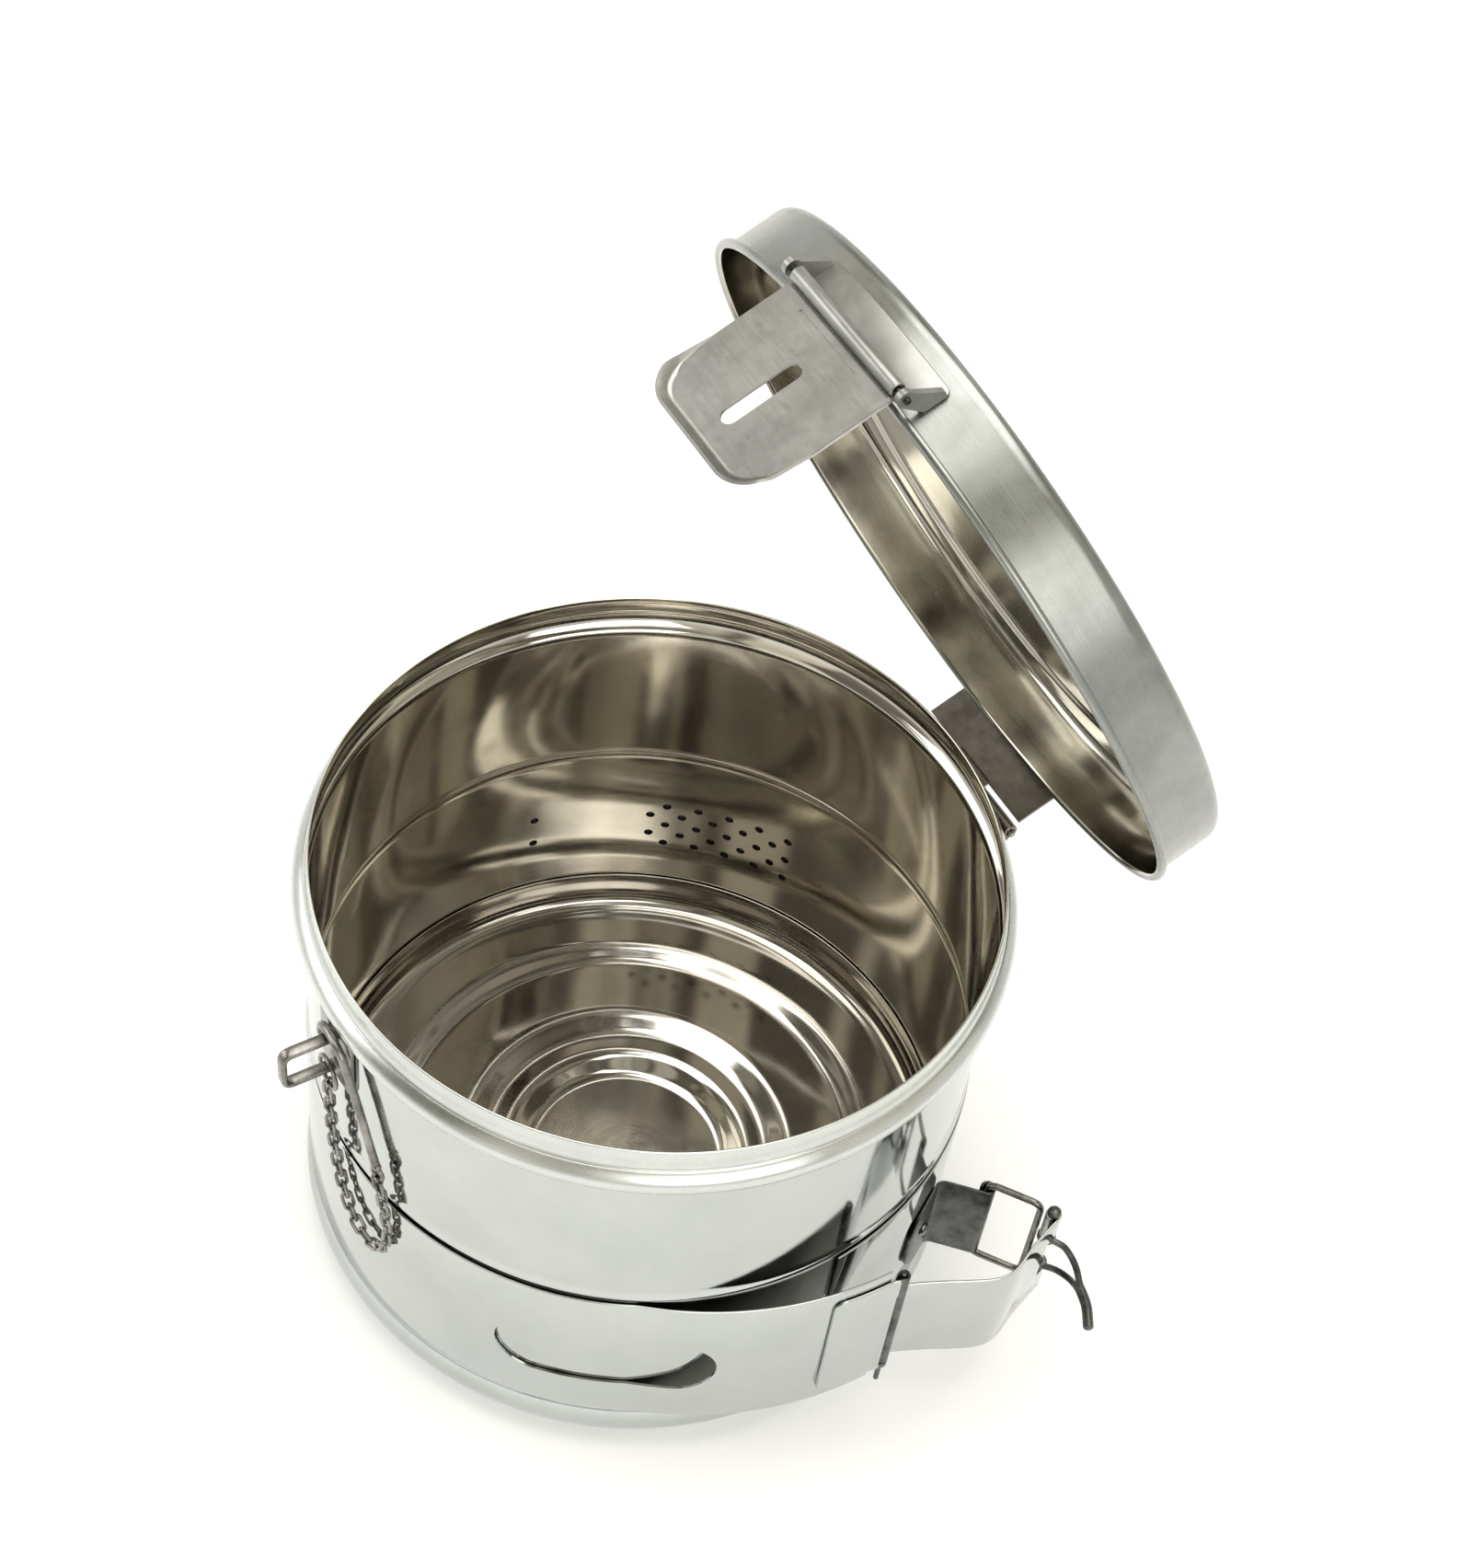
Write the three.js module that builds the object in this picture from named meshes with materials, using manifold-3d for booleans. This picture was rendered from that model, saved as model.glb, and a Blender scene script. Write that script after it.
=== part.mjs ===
// Stainless steel dressing drum: a round perforated box with a hinged lid, a hasp and staple,
// a split sliding band that covers the steam holes, its wire toggle clasp, and a locking peg on a chain.
// Millimetres, +Z up. The origin is the centre of the floor's underside, on the drum's axis.
// The lid hinge is at +Y and the hasp and staple at -Y. The lid stands open and the clasp is undone.
import * as THREE from 'three';
import { mergeVertices } from 'three/addons/utils/BufferGeometryUtils.js';
import Module from 'manifold-3d';

const wasm = await Module();
wasm.setup();

// ---- driving dimensions ----
const SHEET = 1.0; // thickness of the pressed sheet
const GAP = 0.35; // clearance between pieces that touch or slide
const AROUND = 36; // facets round the drum

const WALL_R = 135; // outside of the straight wall
const FOOT_R = 129.5; // middle of the foot's edge
const SEAT_Z = 28.5; // top of the base bead, which the band rests on
const STEP_Z = 118; // small bead just above the band
const BEAD_Z = 203; // middle of the rim bead
const BEAD_R = 140; // outside of the rim bead
const NECK_TOP = 218; // top of the neck that the lid fits over

const FLOOR_EDGE_Z = 14; // height of the floor's outer ring
// Each step down is [outer radius, inner radius, height inside it], at the middle of the sheet.
const FLOOR_RINGS = [[107, 99, 10], [72, 62, 6], [52, 44, SHEET / 2]];

const HOLE_R = 2.5;
const HOLE_Z = 70;
const HOLE_PITCH = 12;
const WINDOW_ANGLES = [-34, 86, 206];
const VENT_ANGLES = [14.6, 134.6, 254.6];
const SIGHT_ANGLE = 171; // the two single holes

const BAND_BOTTOM = SEAT_Z + 1.5;
const BAND_TOP = 113.5;
const BAND_T = 1.0;
const BAND_END = 10.4; // angle of the free, sprung end
const BAND_LEAVES = -30; // angle where that end leaves the wall
const BAND_SPRING = 16.8; // how far it stands off at its end
const BRACKET_ANGLE = 35; // where the catch bracket stands on the band
const RIVET_ANGLE = 30;
const RIVET_R = 1.5;
const TONGUE_END = 5; // angle where the inner tongue ends
const PLATE_START = 361; // angle where the end plate starts
const STRAP_ROOT = 12.5; // angle of the pin that hinges the arm strap to the band's end
const WINDOW_HALF_W = 44;
const WINDOW_H = 34;
const WINDOW_Z = 69;

const CLASP_LOW = 40; // height range of the arm strap
const CLASP_HIGH = 95;
const CATCH_LOW = 43.5; // height range of the catch bracket
const CATCH_HIGH = 90.5;
const CLASP_T = 1.2;
const CURL_R = 2.7; // middle of a curled knuckle
const ROOT_CURL_R = 2.1; // middle of the knuckles on the arm strap's pin
const ARM_PIN_R = 1.1;
const ARM_PIN_LOW = 23; // the pin reaches below the band
const ARM_PIN_HIGH = 108.5;
const WIRE_R = 1.5; // bail and lever wire
const CATCH = [125.5, 93.2]; // axis of the bail, in plan
const LEVER = [150, 108]; // axis of the lever, in plan
const EYE_APART = 10.2; // how far each eye of the lever is from the clasp's middle
const EYE_T = 3;
const BAIL_FAR = [143.8, 106.8];
const BAIL_LOW = 40.8;
const BAIL_HIGH = 93.2;

const HINGE_Y = 146; // lid hinge axis
const HINGE_Z = 188;
const LEAF_W = 66;
const HINGE_PIN_R = 1.6;
const LID_OPEN = 65.4; // degrees from closed
const LID_RIM_Z = 208.6; // lowest edge of the closed lid
const LID_R = 137; // middle of the lid's skirt
const LID_TOP = 237; // middle of the sheet at the top's outer ring
const LID_CORNER = 5;
const HEM_R = 1.3; // middle of the curled hem
// Steps in the lid's top, like the floor's, with heights from its outer ring.
const LID_RINGS = [[124, 120, -3], [104, 100, -1], [84, 80, -3]];

const KNUCKLE_R = 3.4; // lid hinge knuckles
const KNUCKLE_BORE = 2.0;
const KNUCKLE_HALF = 10.8; // half the width of the lid leaf's middle knuckle
const LEAF_T = 1.2;
const LEAF_IN = HINGE_Y - KNUCKLE_R + LEAF_T / 2; // middle of a leaf tangent to the knuckle

const HASP_W = 62;
const HASP_Y = -145.2; // hasp hinge axis when the lid is closed
const HASP_Z = 213;
const HASP_BOTTOM = 152;
const HASP_PLATE_Y = -142.9; // middle of the hasp plate
const HASP_SLOT_Z = 179;
const HASP_SLOT_H = 31;
const HASP_SLOT_W = 6.6;
const HASP_T = 1.2;
const HASP_PIN_R = 1.3;
const TAB_X = HASP_W / 2 + 3.6; // the hasp bracket's end tabs
const TAB_T = 2.4;

const STAPLE_Z = 176;
const STAPLE_H = 21;
const STAPLE_W = 5;
const STAPLE_OUT = 159;
const STAPLE_T = 2.4;

const LINK_L = 9.1; // outside length and width of a link
const LINK_W = 5.4;
const LINK_WIRE = 0.75; // radius of its wire
const CHAIN_LINKS = 27;
const HANG_R = 139.6; // how far from the axis the chain hangs
const RING_R = 7; // split ring round the staple's lower leg
const RING_WIRE = 0.9;
const PEG_R = 1.7;
const PEG_EYE_R = 3;

const radians = THREE.MathUtils.degToRad;

// ---- shape helpers ----

// One closed body with its faces pointing out, from any closed three.js geometry.
function closedBody(source) {
  const bare = source.clone();
  bare.deleteAttribute('normal');
  bare.deleteAttribute('uv');
  const merged = mergeVertices(bare, 1e-3);
  const index = Array.from(merged.index.array);
  const kept = [];
  let volume = 0;
  const [a, b, c] = [new THREE.Vector3(), new THREE.Vector3(), new THREE.Vector3()];
  for (let i = 0; i < index.length; i += 3) {
    const [i0, i1, i2] = index.slice(i, i + 3);
    if (i0 === i1 || i1 === i2 || i2 === i0) continue;
    kept.push(i0, i1, i2);
    a.fromBufferAttribute(merged.attributes.position, i0);
    b.fromBufferAttribute(merged.attributes.position, i1);
    c.fromBufferAttribute(merged.attributes.position, i2);
    volume += a.dot(b.cross(c));
  }
  if (volume < 0) kept.reverse();
  merged.setIndex(kept);
  return merged;
}

function toSolid(geometry) {
  const body = closedBody(geometry);
  const vertProperties = new Float32Array(body.attributes.position.array);
  const triVerts = new Uint32Array(body.index.array);
  return new wasm.Manifold(new wasm.Mesh({ numProp: 3, vertProperties, triVerts }));
}

function fromSolid(solid) {
  const mesh = solid.getMesh();
  const geometry = new THREE.BufferGeometry();
  geometry.setAttribute('position', new THREE.BufferAttribute(mesh.vertProperties, 3));
  geometry.setIndex(new THREE.BufferAttribute(mesh.triVerts, 1));
  return geometry;
}

function cut(geometry, cutters) {
  let solid = toSolid(geometry);
  for (const cutter of cutters) solid = solid.subtract(toSolid(cutter));
  return fromSolid(solid);
}

const onCircle = (radius, degrees) => [
  radius * Math.cos(radians(degrees)), radius * Math.sin(radians(degrees))];

// Points along an arc from one angle to another, ends included.
function arc(cx, cy, radius, from, to, steps) {
  const points = [];
  for (let i = 0; i <= steps; i += 1) {
    const [x, y] = onCircle(radius, from + ((to - from) * i) / steps);
    points.push([cx + x, cy + y]);
  }
  return points;
}

// Closed outline of a bent sheet of even thickness, from the line down its middle.
function sheetOutline(middle, thickness) {
  const left = [];
  const right = [];
  middle.forEach(([x, y], i) => {
    const [x0, y0] = middle[Math.max(i - 1, 0)];
    const [x1, y1] = middle[Math.min(i + 1, middle.length - 1)];
    const length = Math.hypot(x1 - x0, y1 - y0);
    const nx = (-(y1 - y0) / length) * (thickness / 2);
    const ny = ((x1 - x0) / length) * (thickness / 2);
    left.push([x + nx, y + ny]);
    right.unshift([x - nx, y - ny]);
  });
  return [...left, ...right];
}

// Turns a closed outline of [radius, height] points round the Z axis.
function lathe(outline, segments = AROUND) {
  const points = outline.map(([r, z]) => new THREE.Vector2(r, z));
  points.push(points[0].clone());
  return new THREE.LatheGeometry(points, segments).rotateX(Math.PI / 2);
}

function shapeOf(outline) {
  return new THREE.Shape(outline.map(([x, y]) => new THREE.Vector2(x, y)));
}

// A plan outline raised from one height to another.
function raise(outline, low, high) {
  return new THREE.ExtrudeGeometry(shapeOf(outline), { depth: high - low, bevelEnabled: false })
    .translate(0, 0, low);
}

// An outline of [y, z] points drawn out along X, centred on x = 0.
function drawAcross(outline, width) {
  return new THREE.ExtrudeGeometry(shapeOf(outline), { depth: width, bevelEnabled: false })
    .translate(0, 0, -width / 2)
    .applyMatrix4(new THREE.Matrix4().makeBasis(
      new THREE.Vector3(0, 1, 0), new THREE.Vector3(0, 0, 1), new THREE.Vector3(1, 0, 0)));
}

// Outline of a slot with round ends: half its length and half its width.
function slotOutline(halfLength, halfWidth) {
  const straight = halfLength - halfWidth;
  return [...arc(straight, 0, halfWidth, -90, 90, 6), ...arc(-straight, 0, halfWidth, 90, 270, 6)];
}

// A cutter through the wall at an angle and height, from an outline of [sideways, up] points.
function throughWall(outline, angle, z, from = 120, to = 170) {
  const [x, y] = onCircle(1, angle);
  const place = new THREE.Matrix4().makeBasis(
    new THREE.Vector3(-y, x, 0), new THREE.Vector3(0, 0, 1), new THREE.Vector3(x, y, 0));
  return new THREE.ExtrudeGeometry(shapeOf(outline), { depth: to - from, bevelEnabled: false })
    .translate(0, 0, from)
    .applyMatrix4(place)
    .translate(0, 0, z);
}

// A round wire along a path of straight runs with rounded corners.
function wire(corners, bend, radius, steps, sides = 8) {
  const path = new THREE.CurvePath();
  const points = corners.map((p) => new THREE.Vector3(...p));
  let start = points[0];
  for (let i = 1; i < points.length - 1; i += 1) {
    const before = points[i].clone().add(points[i - 1].clone().sub(points[i]).setLength(bend));
    const after = points[i].clone().add(points[i + 1].clone().sub(points[i]).setLength(bend));
    path.add(new THREE.LineCurve3(start, before));
    path.add(new THREE.QuadraticBezierCurve3(before, points[i], after));
    start = after;
  }
  path.add(new THREE.LineCurve3(start, points.at(-1)));
  return tube(path, radius, steps, sides);
}

function tube(path, radius, steps, sides = 8) {
  const section = shapeOf(arc(0, 0, radius, 0, 360, sides).slice(0, -1));
  return new THREE.ExtrudeGeometry(section, { extrudePath: path, steps, bevelEnabled: false });
}

function rod(radius, length, sides = 16) {
  return new THREE.CylinderGeometry(radius, radius, length, sides);
}

// ---- the assembly's groups ----
const dressingDrum = new THREE.Group();
const drum = new THREE.Group();
const lid = new THREE.Group();
const band = new THREE.Group();
const chain = new THREE.Group();
dressingDrum.add(drum, lid, band, chain);

function steel(shade, roughness) {
  const color = new THREE.Color(shade, shade, shade * 0.98);
  return new THREE.MeshStandardMaterial({ color, roughness, metalness: 1 });
}

function piece(group, name, geometry, shade = 0.75, roughness = 0.2) {
  const mesh = new THREE.Mesh(closedBody(geometry), steel(shade, roughness));
  mesh.name = name;
  group.add(mesh);
}

// ---- drum: wall, floor, staple and the fixed half of the hinge ----
const wallMiddle = WALL_R - SHEET / 2;

function ventCutters() {
  const hole = arc(0, 0, HOLE_R, 0, 360, 6).slice(0, -1);
  const degreesPerMm = 180 / (Math.PI * WALL_R);
  const cutters = [];
  for (const middle of VENT_ANGLES) {
    for (const [row, count] of [[-1, 5], [0, 4], [1, 5]]) {
      for (let i = 0; i < count; i += 1) {
        const sideways = (i - (count - 1) / 2) * HOLE_PITCH;
        const height = HOLE_Z + row * HOLE_PITCH;
        cutters.push(throughWall(hole, middle + sideways * degreesPerMm, height));
      }
    }
  }
  for (const z of [HOLE_Z - 8, HOLE_Z + 8]) cutters.push(throughWall(hole, SIGHT_ANGLE, z));
  return cutters;
}

function drumWall() {
  const middle = [
    [FOOT_R, 0], [FOOT_R + 1, 3], [wallMiddle - 1, 9],
    [wallMiddle + 2.8, 16], [wallMiddle + 3.1, 22], [wallMiddle + 1.6, 26.5],
    [wallMiddle, SEAT_Z], [wallMiddle, STEP_Z - 2.5], [wallMiddle + 1.2, STEP_Z],
    [wallMiddle, STEP_Z + 2.5], [wallMiddle, BEAD_Z - 7], [wallMiddle + 2.6, BEAD_Z - 5.4],
    [BEAD_R - 0.9, BEAD_Z - 2.6], [BEAD_R - 0.5, BEAD_Z], [BEAD_R - 0.9, BEAD_Z + 2.2],
    [wallMiddle + 2.2, BEAD_Z + 4.4], [wallMiddle - 0.5, BEAD_Z + 6], [wallMiddle - 1.1, NECK_TOP],
  ];
  return cut(lathe(sheetOutline(middle, SHEET)), ventCutters());
}

function drumFloor() {
  const flange = WALL_R - SHEET * 1.5 - GAP;
  const middle = [[flange, 32], [flange, 21], [flange - 2, 16.5], [flange - 6, FLOOR_EDGE_Z]];
  let height = FLOOR_EDGE_Z;
  for (const [outer, inner, inside] of FLOOR_RINGS) {
    middle.push([outer, height], [inner, inside]);
    height = inside;
  }
  middle.push([0, height]);
  return lathe(sheetOutline(middle, SHEET));
}

// A plate curved to the drum: a sector of a ring.
function curvedPlate(innerR, thickness, angle, width, low, high) {
  const half = THREE.MathUtils.radToDeg(width / 2 / innerR);
  const middle = arc(0, 0, innerR + thickness / 2, angle - half, angle + half, 8);
  return raise(sheetOutline(middle, thickness), low, high);
}

function staple() {
  const root = -(WALL_R + GAP + 1.5 + GAP);
  const out = -(STAPLE_OUT - STAPLE_T / 2);
  const low = STAPLE_Z - (STAPLE_H - STAPLE_T) / 2;
  const high = STAPLE_Z + (STAPLE_H - STAPLE_T) / 2;
  const corner = 3;
  const middle = [
    [root, high], ...arc(out + corner, high - corner, corner, 90, 180, 3),
    ...arc(out + corner, low + corner, corner, 180, 270, 3), [root, low],
  ];
  return drawAcross(sheetOutline(middle, STAPLE_T), STAPLE_W);
}

// Cylinders along X on a hinge axis, for knuckles, bores and notches.
function across(radius, from, to, y, z, sides = 16) {
  return rod(radius, to - from, sides).rotateZ(Math.PI / 2).translate((from + to) / 2, y, z);
}

function join(geometries) {
  const [first, ...rest] = geometries.map(toSolid);
  return fromSolid(rest.reduce((sum, solid) => sum.add(solid), first));
}

function bodyLeaf() {
  const foot = curvedPlate(WALL_R + GAP, LEAF_T, 90, LEAF_W, 148, 174);
  const half = LEAF_W / 2;
  const footY = WALL_R + GAP + LEAF_T / 2;
  const slope = [[footY, 166], [footY, 172], [HINGE_Y, HINGE_Z - 2.8]];
  const leaf = join([
    foot,
    drawAcross(sheetOutline(slope, LEAF_T), LEAF_W),
    across(KNUCKLE_R, -half, -KNUCKLE_HALF - GAP, HINGE_Y, HINGE_Z),
    across(KNUCKLE_R, KNUCKLE_HALF + GAP, half, HINGE_Y, HINGE_Z),
  ]);
  return cut(leaf, [
    across(KNUCKLE_BORE, -half - 1, half + 1, HINGE_Y, HINGE_Z),
    across(KNUCKLE_R + 0.8, -KNUCKLE_HALF - GAP, KNUCKLE_HALF + GAP, HINGE_Y, HINGE_Z),
  ]);
}

piece(drum, 'drum_wall', drumWall(), 0.8, 0.12);
piece(drum, 'drum_floor', drumFloor(), 0.7, 0.15);
piece(drum, 'staple_plate', curvedPlate(WALL_R + GAP, 1.5, -90, 26, 160, 192), 0.7, 0.3);
piece(drum, 'staple', staple(), 0.6, 0.3);
piece(drum, 'body_hinge_leaf', bodyLeaf(), 0.55, 0.35);
const hingePinHalf = LEAF_W / 2 + 1.5;
piece(drum, 'hinge_pin', across(HINGE_PIN_R, -hingePinHalf, hingePinHalf, HINGE_Y, HINGE_Z), 0.6, 0.3);

// ---- lid, drawn closed and then swung open about its hinge ----
lid.position.set(0, HINGE_Y, HINGE_Z);
lid.rotation.x = -radians(LID_OPEN);
const lidParts = new THREE.Group();
lidParts.position.set(0, -HINGE_Y, -HINGE_Z);
lid.add(lidParts);

function lidShell() {
  const hemZ = LID_RIM_Z + HEM_R + SHEET / 2;
  const middle = [
    ...arc(LID_R + HEM_R, hemZ, HEM_R, 400, 180, 6),
    ...arc(LID_R - LID_CORNER, LID_TOP - LID_CORNER, LID_CORNER, 0, 90, 4),
  ];
  let height = LID_TOP;
  for (const [outer, inner, drop] of LID_RINGS) {
    middle.push([outer, height], [inner, LID_TOP + drop]);
    height = LID_TOP + drop;
  }
  middle.push([0, height]);
  return lathe(sheetOutline(middle, SHEET));
}

function lidLeaf() {
  const skirt = LID_R + SHEET / 2 + GAP;
  const drop = [
    [LEAF_IN, HINGE_Z], [LEAF_IN, LID_RIM_Z + 6], [skirt + LEAF_T / 2, 220], [skirt + LEAF_T / 2, 226],
  ];
  const half = LEAF_W / 2;
  const leaf = join([
    curvedPlate(skirt, LEAF_T, 90, LEAF_W, 218, 232),
    drawAcross(sheetOutline(drop, LEAF_T), LEAF_W),
    across(KNUCKLE_R, -KNUCKLE_HALF, KNUCKLE_HALF, HINGE_Y, HINGE_Z),
  ]);
  return cut(leaf, [
    across(KNUCKLE_BORE, -half - 1, half + 1, HINGE_Y, HINGE_Z),
    across(KNUCKLE_R + 0.8, -half - 1, -KNUCKLE_HALF, HINGE_Y, HINGE_Z),
    across(KNUCKLE_R + 0.8, KNUCKLE_HALF, half + 1, HINGE_Y, HINGE_Z),
  ]);
}

function haspBracket() {
  const skirt = LID_R + SHEET / 2 + GAP;
  const tab = [
    ...arc(HASP_Y, HASP_Z, 3.2, 100, 320, 8), [-134.1, 217], [-134.1, 226], [-137, 226],
  ];
  const tabs = [-TAB_X, TAB_X].map((x) => drawAcross(tab, TAB_T).translate(x, 0, 0));
  const bracket = join([curvedPlate(skirt, HASP_T, -90, 2 * TAB_X + TAB_T, 216, 228), ...tabs]);
  const bore = across(HASP_PIN_R + GAP, -TAB_X - TAB_T, TAB_X + TAB_T, HASP_Y, HASP_Z);
  return cut(bracket, [bore]);
}

function haspPlate() {
  const roll = HASP_PLATE_Y - HASP_Y;
  const finger = 4;
  const middle = [
    ...arc(HASP_Y, HASP_Z, roll, 270, 0, 10),
    ...arc(HASP_PLATE_Y - finger, HASP_BOTTOM + finger, finger, 0, -150, 6),
  ];
  const corner = 14;
  const half = HASP_W / 2;
  const face = shapeOf([
    [-half, 220], ...arc(-half + corner, HASP_BOTTOM + corner - 1, corner, 180, 270, 6),
    ...arc(half - corner, HASP_BOTTOM + corner - 1, corner, 270, 360, 6), [half, 220],
  ]);
  const slot = shapeOf(slotOutline(HASP_SLOT_H / 2, HASP_SLOT_W / 2)
    .map(([along, side]) => [side, along + HASP_SLOT_Z]));
  const [frontY, depth] = [-160, 30];
  const alongY = (shape) => new THREE.ExtrudeGeometry(shape, { depth, bevelEnabled: false })
    .rotateX(Math.PI / 2).translate(0, frontY + depth, 0);
  const plate = toSolid(drawAcross(sheetOutline(middle, HASP_T), HASP_W));
  return fromSolid(plate.intersect(toSolid(alongY(face))).subtract(toSolid(alongY(slot))));
}

const pinEnd = TAB_X + TAB_T / 2 + 1.2;
piece(lidParts, 'lid_shell', lidShell(), 0.65, 0.3);
piece(lidParts, 'lid_hinge_leaf', lidLeaf(), 0.55, 0.35);
piece(lidParts, 'hasp_bracket', haspBracket(), 0.6, 0.35);
piece(lidParts, 'hasp_pin', across(HASP_PIN_R, -pinEnd, pinEnd, HASP_Y, HASP_Z, 12), 0.5, 0.3);
piece(lidParts, 'hasp_plate', haspPlate(), 0.65, 0.35);

// ---- sliding band and its clasp ----

// How far the band's middle stands from the axis at an angle; its free end has sprung outwards.
function bandRadius(angle) {
  const free = Math.max(0, angle - 360 - BAND_LEAVES);
  return WALL_R + GAP + BAND_T / 2 + BAND_SPRING * (free / (BAND_END - BAND_LEAVES)) ** 1.1;
}

function bandLine(from, to, outwards, steps) {
  const line = [];
  for (let i = 0; i <= steps; i += 1) {
    const angle = from + ((to - from) * i) / steps;
    line.push(onCircle(bandRadius(angle) + outwards, angle));
  }
  return line;
}

const claspMiddle = (CLASP_LOW + CLASP_HIGH) / 2;

function rivetHole() {
  const outline = arc(0, 0, RIVET_R + GAP, 0, 360, 8).slice(0, -1);
  return throughWall(outline, RIVET_ANGLE, claspMiddle, 130, 145);
}

function bandStrip() {
  const middle = bandLine(TONGUE_END, 360 + BAND_END, 0, 92);
  const strip = raise(sheetOutline(middle, BAND_T), BAND_BOTTOM, BAND_TOP);
  const window = slotOutline(WINDOW_HALF_W, WINDOW_H / 2);
  return cut(strip, [...WINDOW_ANGLES.map((angle) => throughWall(window, angle, WINDOW_Z)), rivetHole()]);
}

// The strip's end plate and the clasp's sheet parts lie on each other with a small gap.
const plateOut = BAND_T / 2 + GAP + CLASP_T / 2;
const armPin = onCircle(bandRadius(360 + BAND_END) + plateOut + GAP, STRAP_ROOT);

function curl([x, y], from, radius = CURL_R) {
  return arc(x, y, radius, from, from + 270, 9);
}

// The end plate lies on the band's free end, and rolls round the pin above and below the arm strap.
function bandEndPlate() {
  const low = BAND_BOTTOM + 6;
  const high = BAND_TOP - 6;
  const flat = bandLine(PLATE_START, 360 + BAND_END, plateOut, 4);
  const knuckled = [...flat, ...arc(...armPin, ROOT_CURL_R, 5, 240, 8)];
  return join([
    raise(sheetOutline(flat, CLASP_T), low, high),
    raise(sheetOutline(knuckled, CLASP_T), low, CLASP_LOW - GAP),
    raise(sheetOutline(knuckled, CLASP_T), CLASP_HIGH + GAP, high),
  ]);
}

// The arm strap is rolled round both of its pins, and notched at the far one for the lever's eyes.
function armStrap() {
  const bend = [[150.5, 40], [155.2, 51], [160.3, 61.5], [164.4, 71], [165, 77.5], [163, 83.5], [158.6, 92]];
  const middle = [...curl(armPin, 170, ROOT_CURL_R).reverse(), ...bend, ...curl(LEVER, 30.7)];
  const notch = rod(6, 2 * EYE_APART + EYE_T + 2 * GAP, 24).rotateX(Math.PI / 2)
    .translate(...LEVER, claspMiddle);
  return cut(raise(sheetOutline(middle, CLASP_T), CLASP_LOW, CLASP_HIGH), [notch]);
}

function catchBracket() {
  const flange = arc(0, 0, WALL_R + GAP + BAND_T / 2 + plateOut, 25, BRACKET_ANGLE - 1.5, 4);
  const middle = [...flange, [114.6, 78.4], [117.3, 81.2], ...curl(CATCH, -36)];
  const bracket = raise(sheetOutline(middle, CLASP_T), CATCH_LOW, CATCH_HIGH);
  return cut(bracket, [rivetHole()]);
}

function catchRivet() {
  const from = WALL_R + GAP;
  const seat = from + BAND_T + GAP + CLASP_T + GAP;
  const outline = [
    [0, from], [RIVET_R, from], [RIVET_R, seat], [3, seat], [2.6, seat + 1], [1.4, seat + 1.6],
    [0, seat + 1.7],
  ];
  const [x, y] = onCircle(1, RIVET_ANGLE);
  return lathe(outline, 12).applyMatrix4(new THREE.Matrix4().makeBasis(
    new THREE.Vector3(-y, x, 0), new THREE.Vector3(0, 0, 1), new THREE.Vector3(x, y, 0)))
    .translate(0, 0, claspMiddle);
}

function bail() {
  const joint = (BAIL_LOW + BAIL_HIGH) / 2; // the two ends of the bent wire meet here
  const corners = [
    [...CATCH, joint + GAP], [...CATCH, BAIL_HIGH], [...BAIL_FAR, BAIL_HIGH],
    [...BAIL_FAR, BAIL_LOW], [...CATCH, BAIL_LOW], [...CATCH, joint - GAP],
  ];
  return wire(corners, 4, WIRE_R, 32);
}

// The lever is a wire fork: an eye at each end of the pin, and two legs that meet in a finger tip.
function leverFork() {
  const parts = [];
  for (const side of [-1, 1]) {
    const eyeZ = claspMiddle + side * EYE_APART;
    parts.push(rod(3.8, EYE_T).rotateX(Math.PI / 2).translate(...LEVER, eyeZ));
    const leg = new THREE.CatmullRomCurve3([
      [LEVER[0] + 2.8, LEVER[1] + 1, eyeZ], [158, 112.3, claspMiddle + side * 9],
      [165.5, 113, claspMiddle + side * 5.5], [173, 111.2, claspMiddle + side * 1.2],
    ].map((p) => new THREE.Vector3(...p)));
    parts.push(tube(leg, 1.4, 12));
  }
  const tip = new THREE.CatmullRomCurve3([[170.5, 112], [180, 109.4], [188.5, 104.6]]
    .map(([x, y]) => new THREE.Vector3(x, y, claspMiddle)));
  parts.push(tube(tip, 2.2, 8));
  const bore = rod(WIRE_R + GAP + 0.1, 60).rotateX(Math.PI / 2).translate(...LEVER, claspMiddle);
  return cut(join(parts), [bore]);
}

function leverPin() {
  const low = CLASP_LOW - 4;
  const high = CLASP_HIGH + GAP;
  const outline = [
    [0, low], [WIRE_R, low], [WIRE_R, high], [2.8, high], [2.8, high + 1.6], [1.8, high + 2.6],
    [0, high + 2.8],
  ];
  return lathe(outline, 12).translate(...LEVER, 0);
}

piece(band, 'band_strip', bandStrip(), 0.8, 0.12);
piece(band, 'band_end_plate', bandEndPlate(), 0.78, 0.15);
piece(band, 'arm_strap', armStrap(), 0.78, 0.15);
piece(band, 'arm_pin', rod(ARM_PIN_R, ARM_PIN_HIGH - ARM_PIN_LOW, 12).rotateX(Math.PI / 2)
  .translate(...armPin, (ARM_PIN_LOW + ARM_PIN_HIGH) / 2), 0.3, 0.4);
piece(band, 'lever_pin', leverPin(), 0.3, 0.4);
piece(band, 'lever', leverFork(), 0.4, 0.35);
piece(band, 'catch_bracket', catchBracket(), 0.35, 0.4);
piece(band, 'catch_rivet', catchRivet(), 0.6, 0.3);
piece(band, 'bail', bail(), 0.5, 0.3);

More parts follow.
